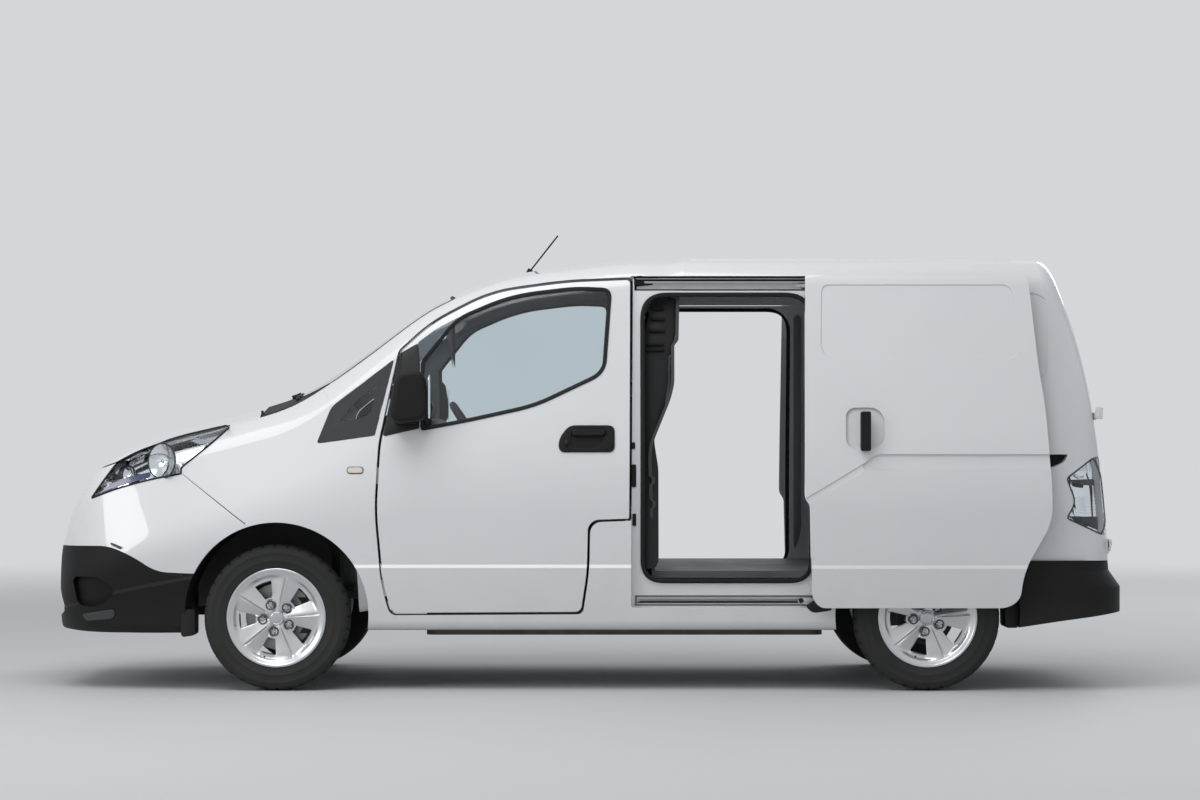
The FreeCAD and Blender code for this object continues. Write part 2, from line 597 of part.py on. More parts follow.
def make_rear_doors(panels):
    """Rear wing doors with a window each."""
    slab = joined(panels["rear_door"])
    inner_x = REAR_DOOR_FROM_X + PANEL_GAP
    door = slab.common(drafted_prism(tail_point, REAR_DOOR, PANEL_GAP, 2300, inner_x, DOOR_DRAFT / 2))
    window = tail_prism(REAR_WINDOW, 1850, 2400)
    pane = door.common(window)
    outer_pane, inner_pane = pane.copy(), pane.copy()
    outer_pane.translate(V(-GLASS_SINK, 0, 0))
    inner_pane.translate(V(-GLASS_SINK - GLASS_THICK, 0, 0))
    glass = outer_pane.cut(inner_pane).common(window)
    add_pair("rear_door", largest(door.cut(window).Solids))
    add_pair("rear_glass", largest(glass.Solids))


def make_slide_doors():
    """Sliding doors, standing open outside the body."""
    outer, inner = (barrel(600, 2100, inset, 0, 0) for inset in (0, SLIDE_DOOR_THICK))
    slab = outer.common(side_prism(SLIDE_DOOR, -1100, -600)).cut(inner)
    for outline, depth in ((SLIDE_PRESSING, 4), (SLIDE_SWAGE, 9), (SLIDE_CREASE, 4), (SLIDE_GRIP, 13)):
        slab = slab.cut(side_prism(outline, -1100, -600).cut(barrel(600, 2100, depth, 0, 0)))
    slab.translate(V(0, -SLIDE_OUT, 0))
    add_pair("sliding_door", largest(slab.Solids))
    handle = side_prism(((1126, 1004, 8), (1126, 1168, 8), (1166, 1168, 8), (1166, 1004, 8)),
                        -SLIDE_OUT - 904, -SLIDE_OUT - 850).cut(slab)
    PARTS["sliding_handles"] = both_sides(largest(handle.Solids))


def make_floor(inner):
    """Cab floor, raised load floor with wheel boxes, and firewall."""
    rear_x, out = 2125, -900
    cab = box(FIREWALL_X, BULKHEAD_X + 14, out, 0, CAB_FLOOR_Z - FLOOR_THICK, CAB_FLOOR_Z)
    load = box(BULKHEAD_X, rear_x, out, 0, LOAD_FLOOR_Z - FLOOR_THICK, LOAD_FLOOR_Z)
    riser = box(BULKHEAD_X, BULKHEAD_X + 14, out, 0, CAB_FLOOR_Z - FLOOR_THICK, LOAD_FLOOR_Z)
    firewall = box(FIREWALL_X - 14, FIREWALL_X, out, 0, CAB_FLOOR_Z - FLOOR_THICK, 1120)
    reach = ARCH_R + 20
    above = box(REAR_AXLE_X - reach, REAR_AXLE_X + reach, out, 0, LOAD_FLOOR_Z - FLOOR_THICK, 900)
    cover = wheel_house(REAR_AXLE_X, ARCH_R + 12, out, -WHEEL_BOX_Y).common(above)
    hollow = wheel_house(REAR_AXLE_X, ARCH_R, out, -WHEEL_BOX_Y - 12)
    left = joined([cab, load, riser, firewall, cover])
    left = left.cut([hollow, steering_sweep(), hinge_post(), front_liner()]).common(inner)
    for x in LASHING_X:
        left = left.cut(Part.makeCylinder(LASHING_R, 100, V(x, -LASHING_Y, LOAD_FLOOR_Z - 80)))
    PARTS["floor_pan"] = both_halves(largest(left.Solids))


def make_bulkhead(inner):
    """Pressed panel between cab and load space."""
    foot, rest = BULKHEAD[0], BULKHEAD[1:]
    lean = (rest[0][0] - foot[0]) / (rest[0][1] - foot[1])
    front = [foot]
    for low in BULKHEAD_SWAGES:
        for rise, depth in ((0, 0), (10, SWAGE_DEPTH), (SWAGE_HEIGHT - 10, SWAGE_DEPTH), (SWAGE_HEIGHT, 0)):
            z = low + rise
            front.append((foot[0] + (z - foot[1]) * lean + depth, z, 3))
    front += rest
    back = [(x + BULKHEAD_THICK, z, s) for x, z, s in reversed(front)]
    sheet = side_prism(front + back, -900, 0).common(inner)
    PARTS["bulkhead"] = both_halves(largest(sheet.Solids))


def make_cab():
    """Dashboard with the steering column, seats and steering wheel."""
    profile = ((FIREWALL_X, 780, 0), (FIREWALL_X, 1110, 20), (-760, 1175, 90), (-640, 1130, 50),
               (-640, 1000, 30), (-800, 860, 60), (-840, 780, 20))
    hood = side_prism(((-900, 1120, 0), (-830, 1200, 50), (-690, 1222, 30), (-668, 1196, 12),
                       (-690, 1100, 0)), -530, -210)
    stack = side_prism(((-800, 780, 0), (-800, 1080, 0), (-640, 1080, 30), (-600, 1010, 30),
                        (-660, 780, 40)), -140, 140)
    dash = joined([side_prism(profile, -DASH_HALF_WIDTH, DASH_HALF_WIDTH), hood, stack])
    axis = V(STEERING_AXIS.x, 0, STEERING_AXIS.z).normalize()
    column = rod(STEERING_CENTRE - axis * 330, STEERING_CENTRE - axis * (30 + SEAT_CLEAR), 34)
    PARTS["dashboard"] = joined([dash, column])
    grip = [V(STEERING_R - 15 + 15 * math.cos(math.radians(45 * i)), 0, 15 * math.sin(math.radians(45 * i)))
            for i in range(8)]
    rim = Part.Face(Part.makePolygon(grip + grip[:1])).revolve(V(0, 0, 0), V(0, 0, 1), 360)
    hub = Part.makeCylinder(62, 40, V(0, 0, -30), V(0, 0, 1))
    spokes = [Part.makeBox(2 * STEERING_R - 40, 34, 14, V(20 - STEERING_R, -17, -14)),
              Part.makeBox(40, STEERING_R - 20, 14, V(-20, 20 - STEERING_R, -14))]
    wheel = joined([rim, hub] + spokes)
    wheel.rotate(V(0, 0, 0), V(0, 0, 1), -90)
    wheel.rotate(V(0, 0, 0), V(0, 1, 0), math.degrees(math.atan2(axis.x, axis.z)))
    wheel.translate(STEERING_CENTRE)
    PARTS["steering_wheel"] = wheel
    seats = []
    for y in (-370, 370):
        base = box(-420, 120, y - 190, y + 190, CAB_FLOOR_Z, 560)
        cushion = side_prism(((-460, 560, 20), (140, 560, 20), (140, 690, 40), (-400, 730, 50),
                              (-460, 690, 40)), y - 250, y + 250)
        back = side_prism(((60, 690, 20), (150, 690, 20), (232, 1030, 60), (252, 1255, 40), (150, 1255, 40),
                           (95, 1000, 60)), y - 235, y + 235)
        rest = side_prism(((168, 1285, 20), (258, 1285, 20), (262, 1440, 30), (186, 1440, 40)),
                          y - 120, y + 120)
        stems = [rod(V(212, y + dy, 1240), V(214, y + dy, 1300), 7) for dy in (-60, 60)]
        seats.append(joined([base, cushion, back, rest] + stems))
    PARTS["seats"] = Part.makeCompound(seats)


def make_drive():
    """Battery pack under the floor and the motor block at the front."""
    pack = plan_prism(((-700, -500, 40), (1000, -500, 40), (1000, 500, 40), (-700, 500, 40)), 215,
                      CAB_FLOOR_Z - FLOOR_THICK)
    PARTS["battery_pack"] = pack.cut(box(BULKHEAD_X, 1100, -600, 600, 330, 400))
    PARTS["motor_unit"] = box(-1700, -1120, -330, 330, 330, 880)


def make_front_suspension():
    """Subframe with its arms and struts, standing on the body's side."""
    z, x, y = TYRE_R, FRONT_AXLE_X, -STEER_PIN_Y
    beam = box(x - 60, x + 60, -420, 420, 250, 330)
    arms = []
    for side in (-1, 1):
        tip = side * (STEER_PIN_Y + 20)
        arm = plan_prism(((x - 50, side * 400, 10), (x + 50, side * 400, 10), (x + 24, tip, 22),
                          (x - 24, tip, 22)), 160, 186)
        drop = box(x - 50, x + 50, min(side * 360, side * 420), max(side * 360, side * 420), 160, 260)
        arms += [arm, drop]
    mount = box(x - 40, x + 40, -300, 300, 320, 330)
    PARTS["front_suspension"] = joined([beam, mount] + arms)
    disc_out, disc_in = -HUB_FACE_Y + 2, -HUB_FACE_Y + 2 + DISC_THICK
    carrier = drum(x, z, -HUB_FACE_Y + SEAT_CLEAR, y + 50, 46)
    upright = box(x - 22, x + 22, disc_in + 8, y + 45, z - 100, z + 110)
    pin = Part.makeCylinder(14, z - 90 - 186 - SEAT_CLEAR, V(x, y, 186 + SEAT_CLEAR))
    caliper = tube(x, z, disc_out - 18, disc_in + 24, 166, 112)
    caliper = caliper.common(box(x + 60, x + 200, -800, -600, z - 70, z + 80))
    caliper = caliper.cut(drum(x, z, disc_out - 6, disc_in + 6, DISC_R + 6))
    bracket = box(x + 15, x + 122, disc_in + 8, disc_in + 22, z - 30, z + 30)
    add_pair("knuckle", joined([carrier, upright, pin, bracket, caliper]))


def make_rear_axle():
    """Beam axle with drums, carried by leaf springs under the load floor."""
    x, z = REAR_AXLE_X, TYRE_R
    beam = drum(x, z, -690, 690, 32)
    face = HUB_FACE_Y - SEAT_CLEAR
    drums = [drum(x, z, -face, -face + 42, 118), drum(x, z, face - 42, face, 118)]
    PARTS["rear_axle"] = joined([beam] + drums)
    leaves = side_prism(((x - 560, 430, 20), (x - 300, 372, 150), (x, 350, 200), (x + 300, 372, 150),
                         (x + 560, 430, 20), (x + 560, 446, 20), (x + 300, 388, 150), (x, 366, 200),
                         (x - 300, 388, 150), (x - 560, 446, 20)), -620, -560)
    ends = [box(x + dx - 20, x + dx + 20, -620, -560, 430, LOAD_FLOOR_Z - FLOOR_THICK) for dx in (-545, 545)]
    saddle = box(x - 45, x + 45, -620, -560, z + 20, 356)
    PARTS["leaf_springs"] = both_sides(joined([leaves, saddle] + ends).cut(beam))


def front_liner():
    liner = tube(FRONT_AXLE_X, TYRE_R + ARCH_RISE, -900, -480, ARCH_R + ARCH_LINER_THICK, ARCH_R)
    return liner.common(box(FRONT_AXLE_X - 500, FRONT_AXLE_X + 500, -900, -400, 300, 900))


def make_arch_liners(inner):
    liner = front_liner().common(inner).cut(hinge_post())
    PARTS["arch_liners"] = both_sides(largest(liner.Solids))


def turned(profile):
    """Solid of revolution about the wheel's axle from (radius, offset from the wheel's middle plane)."""
    points = [V(0, offset, radius) for radius, offset in profile]
    return Part.Face(Part.makePolygon(points + points[:1])).revolve(V(0, 0, 0), V(0, 1, 0), 360)


def sided_ring(radius, offset):
    """Corners of a many-sided ring about the wheel's axle."""
    angles = [2 * math.pi * index / TYRE_SIDES for index in range(TYRE_SIDES)]
    return [V(radius * math.cos(angle), offset, radius * math.sin(angle)) for angle in angles]


def tyre_solid():
    """Tyre of flat faces between many-sided rings, its bore flared at both ends for the rim's flanges."""
    half = TYRE_WIDTH / 2
    bore_r = BEAD_R / math.cos(math.pi / TYRE_SIDES) + SEAT_CLEAR
    outer_half = ((bore_r, half - 16.5), (BEAD_R + 9.5, half - 8.5), (TYRE_R - 52, half),
                  (TYRE_R - 22, half - 5), (TYRE_R - 5, half - 24))
    section = [(radius, -offset) for radius, offset in outer_half]
    section += [(TYRE_R, 0)] + list(reversed(outer_half))
    rings = [sided_ring(radius, offset) for radius, offset in section]
    faces = []
    for ring, following in zip(rings, rings[1:] + rings[:1]):
        for index in range(TYRE_SIDES):
            corners = [ring[index - 1], ring[index], following[index], following[index - 1]]
            faces.append(Part.Face(Part.makePolygon(corners + corners[:1])))
    return Part.makeSolid(Part.makeShell(faces))


def rim_solid():
    """Rim with its barrel, hub and five broad spokes, its outer face towards -Y."""
    half = TYRE_WIDTH / 2
    rim = turned(((BEAD_R, -half + 16), (BEAD_R + 6, -half + 8), (RIM_R, -half + 4), (RIM_R, -half),
                  (RIM_R - 10, -half), (BARREL_R - 6, -half + 24), (BARREL_R - 6, half - 12),
                  (RIM_R - 8, half), (RIM_R, half), (BEAD_R, half - 16)))
    web = tube(0, 0, SPOKE_FACE, SPOKE_FACE + SPOKE_THICK, BARREL_R, WINDOW_OUTER_R)
    pad = drum(0, 0, SPOKE_FACE, SPOKE_FACE + 48, HUB_PAD_R)
    boss = drum(0, 0, SPOKE_FACE + 40, HUB_Y - HUB_FACE_Y, HUB_BOSS_R)
    narrow, broad = SPOKE_HALF_WIDTHS
    tip_r = WINDOW_OUTER_R + 4
    spokes, grooves = [], []
    for index in range(SPOKE_COUNT):
        spoke = side_prism(((-narrow, 30, 0), (-broad, tip_r, 0), (broad, tip_r, 0), (narrow, 30, 0)),
                           SPOKE_FACE, SPOKE_FACE + SPOKE_THICK)
        groove = side_prism(((-4, 62, 3), (-5, BARREL_R - 10, 3), (5, BARREL_R - 10, 3), (4, 62, 3)),
                            SPOKE_FACE - 2, SPOKE_FACE + 10)
        for piece in (spoke, groove):
            piece.rotate(V(0, 0, 0), V(0, 1, 0), SPOKE_START + index * 360 / SPOKE_COUNT)
        spokes.append(spoke)
        grooves.append(groove)
    return joined([rim, web, pad, boss] + spokes).cut(grooves)


def disc_solid():
    """Brake disc on its hat, round the rim's boss."""
    face = HUB_Y - HUB_FACE_Y
    plate = tube(0, 0, face - 8, face, 80, HUB_BOSS_R)
    hat = tube(0, 0, face - 8, face + 2 + DISC_THICK, 80, 70)
    disc = tube(0, 0, face + 2, face + 2 + DISC_THICK, DISC_R, 70)
    return joined([plate, hat, disc])


def make_wheels():
    for name, x, side in WHEELS:
        pieces = {"tyre_" + name: tyre_solid(), "rim_" + name: rim_solid()}
        if name in ("fl", "fr"):
            pieces["brake_disc_" + name] = disc_solid()
        for label, piece in pieces.items():
            if side > 0:
                piece.rotate(V(0, 0, 0), V(0, 0, 1), 180)
            piece.translate(V(x, side * HUB_Y, TYRE_R))
            PARTS[label] = piece


def make_aerial():
    foot = rod(V(-283, 0, 1775), V(-262, 0, 1812), 12)
    mast = rod(V(-262, 0, 1808), V(-141, 0, 1962), 3.5)
    PARTS["aerial"] = joined([foot, mast]).cut(PARTS["roof"])


def make_body():
    inner = half_volume(SIDE_WALL, NOSE_WALL, ROOF_WALL, SILL_WALL, TAIL_WALL)
    wall = half_volume(0, 0, 0, 0, 0).cut(inner)
    layer = glass_layer()
    panels = partition(largest(wall.Solids), panel_regions())
    make_fixed_panels(panels, layer)
    make_body_side(panels, inner)
    make_scuttle(panels)
    make_bonnet(panels)
    make_front_doors(panels, layer)
    make_rear_doors(panels)
    make_rear_bumper(inner)
    make_floor(inner)
    make_bulkhead(inner)
    make_arch_liners(inner)


def export_all():
    os.makedirs("parts", exist_ok=True)
    for name, shape in PARTS.items():
        shape.exportStep("parts/" + name + ".step")


make_body()
make_slide_doors()
make_cab()
make_drive()
make_front_suspension()
make_rear_axle()
make_wheels()
make_aerial()
export_all()
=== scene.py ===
import math
import bpy
from mathutils import Matrix, Vector
from mathutils.bvhtree import BVHTree


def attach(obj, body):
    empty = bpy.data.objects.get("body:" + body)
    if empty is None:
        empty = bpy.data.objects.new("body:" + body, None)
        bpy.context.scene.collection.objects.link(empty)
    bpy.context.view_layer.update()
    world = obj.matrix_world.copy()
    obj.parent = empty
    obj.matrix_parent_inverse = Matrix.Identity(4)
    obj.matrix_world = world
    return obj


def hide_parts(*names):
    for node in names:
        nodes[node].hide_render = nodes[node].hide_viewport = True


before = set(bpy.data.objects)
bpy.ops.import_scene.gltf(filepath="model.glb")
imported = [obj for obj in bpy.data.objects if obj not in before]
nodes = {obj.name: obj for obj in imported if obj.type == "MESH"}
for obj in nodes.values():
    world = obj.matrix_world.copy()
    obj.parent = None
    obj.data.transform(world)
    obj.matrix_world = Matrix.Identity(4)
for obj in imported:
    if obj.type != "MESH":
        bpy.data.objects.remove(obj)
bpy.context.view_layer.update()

SIDES = (("left", -1), ("right", 1))

# Camera, floor and soft light.
# The view is square to the van's left side, from 14 m, with the lens a little below half its height.
CAMERA_PLACE = (0.0174, -14.1, 1.008)
CAMERA_LENS_MM = 95.04
CAMERA_SHIFT = (0.0054, 0.0417)
FLOOR_SIZE = 240
FLOOR_COLOUR = (0.56, 0.57, 0.58, 1)
BACKDROP_COLOUR = (0.66, 0.68, 0.70, 1)
SKY_COLOUR = (0.93, 0.96, 1.0, 1)
SKY_LIGHT = 0.50
FLOOR_ROUGH = 0.7
GRIT_SCALE, GRIT_STRENGTH = 90, 0.15
FLOOR_FADE = (5.0, 16.0)
LAMPS = (("lamp_above", (-1.5, -3.5, 6.5), (0.1, 0.0, 0.8), 6.0, 250),
         ("lamp_front", (-8.0, -7.0, 4.0), (-0.8, 0.0, 0.9), 4.0, 170),
         ("lamp_behind", (5.5, 7.5, 5.5), (0.3, 0.0, 0.9), 5.0, 180))

bpy.context.scene.view_settings.view_transform = "Standard"
bpy.ops.object.camera_add(location=CAMERA_PLACE, rotation=(math.pi / 2, 0, 0))
camera = bpy.context.object
camera.data.lens = CAMERA_LENS_MM
camera.data.shift_x, camera.data.shift_y = CAMERA_SHIFT
camera.data.clip_end = 500
bpy.context.scene.camera = camera

for name, place, target, size, watts in LAMPS:
    aim = (Vector(target) - Vector(place)).to_track_quat("-Z", "Y").to_euler()
    bpy.ops.object.light_add(type="AREA", location=place, rotation=aim)
    lamp = bpy.context.object
    lamp.name = name
    lamp.data.shape = "DISK"
    lamp.data.size = size
    lamp.data.energy = watts


def tuned(node, values):
    """Set a node's inputs, named with underscores for spaces."""
    for name, value in values.items():
        node.inputs[name.replace("_", " ")].default_value = value
    return node


def added(tree, kind, settings=(), **inputs):
    """New shader node with its settings and inputs."""
    node = tree.nodes.new("ShaderNode" + kind)
    for name, value in dict(settings).items():
        setattr(node, name, value)
    return tuned(node, inputs)


def wired(tree, *links):
    """Link an output of one node to an input of another, for each four values."""
    for start, output, end, socket in links:
        tree.links.new(start.outputs[output], end.inputs[socket])


world = bpy.data.worlds.new("sky")
bpy.context.scene.world = world
world.use_nodes = True
sky = world.node_tree
sky_seen = tuned(sky.nodes["Background"], {"Color": BACKDROP_COLOUR})
sky_lit = added(sky, "Background", Color=SKY_COLOUR, Strength=SKY_LIGHT)
sky_ray = added(sky, "LightPath")
sky_diffuse = added(sky, "MixShader")
wired(sky, (sky_ray, "Is Diffuse Ray", sky_diffuse, "Fac"), (sky_seen, 0, sky_diffuse, 1),
      (sky_lit, 0, sky_diffuse, 2), (sky_diffuse, 0, sky.nodes["World Output"], "Surface"))

bpy.ops.mesh.primitive_plane_add(size=FLOOR_SIZE)
floor = bpy.context.object
floor.name = "floor"
floor_look = bpy.data.materials.new("pale_floor")
floor_look.use_nodes = True
tree = floor_look.node_tree
shader = tuned(tree.nodes["Principled BSDF"], {"Base_Color": FLOOR_COLOUR, "Roughness": FLOOR_ROUGH})
place = added(tree, "TexCoord")
grit = added(tree, "TexNoise", Scale=GRIT_SCALE)
roughen = added(tree, "Bump", Strength=GRIT_STRENGTH)
reach = added(tree, "VectorMath", {"operation": "LENGTH"})
fade = added(tree, "MapRange", {"interpolation_type": "SMOOTHSTEP"}, From_Min=FLOOR_FADE[0],
             From_Max=FLOOR_FADE[1])
far = added(tree, "Emission", Color=BACKDROP_COLOUR)
blend = added(tree, "MixShader")
wired(tree, (place, "Object", grit, "Vector"), (grit, "Fac", roughen, "Height"),
      (roughen, "Normal", shader, "Normal"), (place, "Object", reach, 0), (reach, "Value", fade, "Value"),
      (fade, "Result", blend, "Fac"), (shader, 0, blend, 1), (far, 0, blend, 2),
      (blend, 0, tree.nodes["Material Output"], "Surface"))
floor.data.materials.append(floor_look)

# Painted steel shell.
# Pressed panels in solid white, with a clear coat over faint orange peel, and road dust low on the sills.
PAINT_LIGHT = (0.70, 0.71, 0.72)
PAINT_DARK = (0.65, 0.66, 0.675)
DUST = (0.42, 0.40, 0.37)
DUST_HEIGHTS = (0.62, 0.24)
PAINTED_NODES = ("body_side_left", "body_side_right", "roof", "front_wings", "front_fascia", "bonnet",
                 "front_door_left", "front_door_right", "rear_door_left", "rear_door_right",
                 "sliding_door_left", "sliding_door_right")


def finish(name, light, dark, patch, rough, grain, depth, edge=0.0, **sockets):
    """Material that drifts between two shades and two roughnesses in patches, over a fine grain in its
    surface.
    """
    material = bpy.data.materials.new(name)
    material.use_nodes = True
    tree = material.node_tree
    shader = tuned(tree.nodes["Principled BSDF"], sockets)
    place = added(tree, "TexCoord")
    drift = added(tree, "TexNoise", Scale=patch, Detail=4)
    colour = added(tree, "Mix", {"name": "Colour", "data_type": "RGBA"}, A=(*dark, 1), B=(*light, 1))
    fine = added(tree, "TexNoise", {"name": "Grain"}, Scale=grain)
    gloss = added(tree, "MapRange", To_Min=rough[0], To_Max=rough[1])
    bump = added(tree, "Bump", {"name": "Bump"}, Distance=depth, Strength=1.0)
    if edge:
        wired(tree, (added(tree, "Bevel", {"samples": 4}, Radius=edge), "Normal", bump, "Normal"))
    wired(tree, (place, "Object", drift, "Vector"), (place, "Object", fine, "Vector"),
          (drift, "Fac", colour, "Factor"), (colour, "Result", shader, "Base Color"),
          (drift, "Fac", gloss, "Value"), (gloss, "Result", shader, "Roughness"),
          (fine, "Fac", bump, "Height"), (bump, "Normal", shader, "Normal"))
    return material


def dusted(material, dust, heights, most):
    """The same material with dust that gathers towards the lower of two heights."""
    tree = material.node_tree
    place = added(tree, "TexCoord")
    split = added(tree, "SeparateXYZ")
    low = added(tree, "MapRange", From_Min=heights[0], From_Max=heights[1], To_Max=most)
    cloud = added(tree, "TexNoise", Scale=9, Detail=6)
    share = added(tree, "Math", {"operation": "MULTIPLY"})
    layer = added(tree, "Mix", {"data_type": "RGBA"}, B=(*dust, 1))
    wired(tree, (place, "Object", split, "Vector"), (place, "Object", cloud, "Vector"),
          (split, "Z", low, "Value"), (low, "Result", share, 0), (cloud, "Fac", share, 1),
          (share, "Value", layer, "Factor"), (tree.nodes["Colour"], "Result", layer, "A"),
          (layer, "Result", tree.nodes["Principled BSDF"], "Base Color"))
    return material


def wear(material, *names):
    """Give CAD nodes a material in place of the one they came with."""
    for name in names:
        slots = nodes[name].data.materials
        slots.clear()
        slots.append(material)


paint = dusted(finish("white_paint", PAINT_LIGHT, PAINT_DARK, 1.4, (0.30, 0.42), 700, 0.00004, edge=0.003,
                      Coat_Weight=1.0, Coat_Roughness=0.03), DUST, DUST_HEIGHTS, 0.30)
wear(paint, *PAINTED_NODES)

# Black plastic of the bumpers, mirrors and cowl.
# Moulded in grained black polypropylene that is left unpainted, greyer where the sun and the road have
# dulled it.
TRIM_LIGHT = (0.0105, 0.0100, 0.0105)
TRIM_DARK = (0.0065, 0.0062, 0.0065)
trim = dusted(finish("black_plastic", TRIM_LIGHT, TRIM_DARK, 6, (0.5, 0.7), 1600, 0.00022, edge=0.004,
                     Specular_IOR_Level=0.22), DUST, (0.40, 0.22), 0.04)
wear(trim, "front_bumper", "rear_bumper", "scuttle", "mirror_left", "mirror_right", "aerial",
     "sliding_handles",
     "arch_liners")

# Glass of the windscreen, doors and quarter lights.
# Tempered sheet, tinted a cool blue-grey, with the darker drift of a coating that shows at a low angle.
GLASS_CLEAR = (0.88, 0.925, 0.94)
GLASS_SHADE = (0.78, 0.85, 0.885)
window_glass = finish("window_glass", GLASS_CLEAR, GLASS_SHADE, 2.0, (0.0, 0.0), 2.5, 0.0000005,
                      Transmission_Weight=1.0, IOR=1.45, Specular_IOR_Level=0.5)
wear(window_glass, "windscreen", "quarter_glasses", "door_glass_left", "door_glass_right",
     "rear_glass_left", "rear_glass_right")

# Door window seals and sail panels.
# Black extruded rubber is pressed on round each window opening, and a moulded triangle fills the corner in
# front of the glass. Each strip is drawn from the side, in millimetres, and laid on the door's own curve.
WINDOW_LINE = ((-706, 1380, 12), (-560, 1564, 60), (-330, 1662, 110), (-60, 1694, 60), (92, 1688, 40),
               (66, 1330, 60), (-228, 1190, 80), (-505, 1129, 60), (-704, 1091, 8))
SEAL_EDGES = (-0.004, 0.012)
SEAL_THICK = 0.004
SAIL_LINE = ((-866, 1064, 10), (-800, 1414, 10), (-722, 1458, 6), (-712, 1380, 3), (-712, 1098, 3))
MM = 1000
EASE_STEPS, EASE_SHARE, FEWEST_POINTS = 8, 0.48, 12
MISS_DEPTH = 0.15
CORNER_LINE = ((-716, 1376, 3), (-722, 1462, 8), (-640, 1522, 30), (-548, 1570, 3))
SIGHT_LINES = {"left": (Vector((1, 0, 0)), Vector((0, 0, 1)), Vector((0, -3, 0)), Vector((0, 1, 0)), 2.33),
               "right": (Vector((1, 0, 0)), Vector((0, 0, 1)), Vector((0, 3, 0)), Vector((0, -1, 0)), 2.33),
               "above": (Vector((1, 0, 0)), Vector((0, 1, 0)), Vector((0, 0, 4)), Vector((0, 0, -1)), 3.4),
               "behind": (Vector((0, 1, 0)), Vector((0, 0, 1)), Vector((5, 0, 0)), Vector((-1, 0, 0)), 3.5),
               "ahead": (Vector((0, 1, 0)), Vector((0, 0, 1)), Vector((-5, 0, 0)), Vector((1, 0, 0)), 3.9)}


def skin(*names):
    """Search tree over the faces of CAD nodes."""
    points, faces = [], []
    for name in names:
        mesh = nodes[name].data
        faces += [[len(points) + index for index in face.vertices] for face in mesh.polygons]
        points += [vertex.co.copy() for vertex in mesh.vertices]
    return BVHTree.FromPolygons(points, faces)


def eased(corners, gap=0.012):
    """Even points along a closed outline in millimetres, each corner eased over its third value."""
    line = []
    for i, (u, v, back) in enumerate(corners):
        here = Vector((u, v)) / MM
        before = Vector(corners[i - 1][:2]) / MM - here
        after = Vector(corners[(i + 1) % len(corners)][:2]) / MM - here
        reach = min(back / MM, EASE_SHARE * before.length, EASE_SHARE * after.length)
        start, end = here + before.normalized() * reach, here + after.normalized() * reach
        for share in (step / EASE_STEPS for step in range(EASE_STEPS + 1)):
            line.append(start.lerp(here, share).lerp(here.lerp(end, share), share))
    length = sum((a - b).length for a, b in zip(line, line[1:] + line[:1]))
    return spaced(line, max(FEWEST_POINTS, round(length / gap)))


def spaced(line, count):
    """A closed line given again as so many points at equal steps."""
    lengths = [(b - a).length for a, b in zip(line, line[1:] + line[:1])]
    step, points, i, gone = sum(lengths) / count, [], 0, 0.0
    for k in range(count):
        while gone + lengths[i] < k * step and i < len(line) - 1:
            gone += lengths[i]
            i += 1
        share = (k * step - gone) / lengths[i] if lengths[i] else 0
        points.append(line[i].lerp(line[(i + 1) % len(line)], share))
    return points


def inset(line, width):
    """Closed line moved inwards, square to itself."""
    turn = 1 if sum(a.cross(b) for a, b in zip(line, line[1:] + line[:1])) > 0 else -1
    moved = []
    for i, here in enumerate(line):
        along = (line[(i + 1) % len(line)] - line[i - 1]).normalized()
        moved.append(here + Vector((-along.y, along.x)) * turn * width)
    return moved


def on_panel(tree, view, spot):
    """The place on a panel that is seen at a spot from one side of the van."""
    across, up, start, ahead, reach = SIGHT_LINES[view]
    start = start + across * spot[0] + up * spot[1]
    found = tree.ray_cast(start, ahead, reach)[0]
    if found is None:
        near = tree.find_nearest(start + ahead * (reach - MISS_DEPTH))[0]
        found = start + ahead * (near - start).dot(ahead)
    return found


def fresh(add, **sizes):
    """New primitive, alone in the selection."""
    bpy.ops.object.select_all(action="DESELECT")
    add(**sizes)
    return bpy.context.object


def only(*pieces):
    """Select these pieces alone, the first as the active one."""
    bpy.ops.object.select_all(action="DESELECT")
    for piece in pieces:
        piece.select_set(True)
    bpy.context.view_layer.objects.active = pieces[0]


def merged(pieces):
    """Several pieces made one object, the first of them."""
    only(*pieces)
    bpy.ops.object.join()
    return pieces[0]


def ring(places, fill="NOTHING"):
    """Closed ring of vertices at these places, open or filled."""
    piece = fresh(bpy.ops.mesh.primitive_circle_add, vertices=len(places), fill_type=fill)
    for vertex, place in zip(piece.data.vertices, places):
        vertex.co = place
    return piece


def edit(piece, *steps):
    """Run edit-mode steps on all of a piece."""
    only(piece)
    bpy.ops.object.mode_set(mode="EDIT")
    bpy.ops.mesh.select_all(action="SELECT")
    for step in steps:
        step()
    bpy.ops.object.mode_set(mode="OBJECT")


def shaped(piece, kind, **values):
    """Add a modifier to a piece and apply it."""
    bpy.context.view_layer.objects.active = piece
    modifier = piece.modifiers.new(kind.lower(), kind)
    for value, number in values.items():
        setattr(modifier, value, number)
    bpy.ops.object.modifier_apply(modifier=modifier.name)


def thickened(piece, outward, thick, soft):
    """Give an open sheet its thickness on the outer side, and ease its edges."""
    seen = sum((face.normal * face.area for face in piece.data.polygons), Vector())
    if seen.dot(outward) < 0:
        edit(piece, bpy.ops.mesh.flip_normals)
    shaped(piece, "SOLIDIFY", thickness=thick, offset=1.0, use_even_offset=False)
    if soft:
        shaped(piece, "BEVEL", width=soft, segments=2, limit_method="ANGLE")


def fit(piece, name, look, body="body"):
    """Name a piece, and give it its material and the body it moves with."""
    piece.name = name
    piece.data.materials.clear()
    piece.data.materials.append(look)
    only(piece)
    bpy.ops.object.shade_smooth_by_angle(angle=math.radians(35))
    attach(piece, body)
    return piece


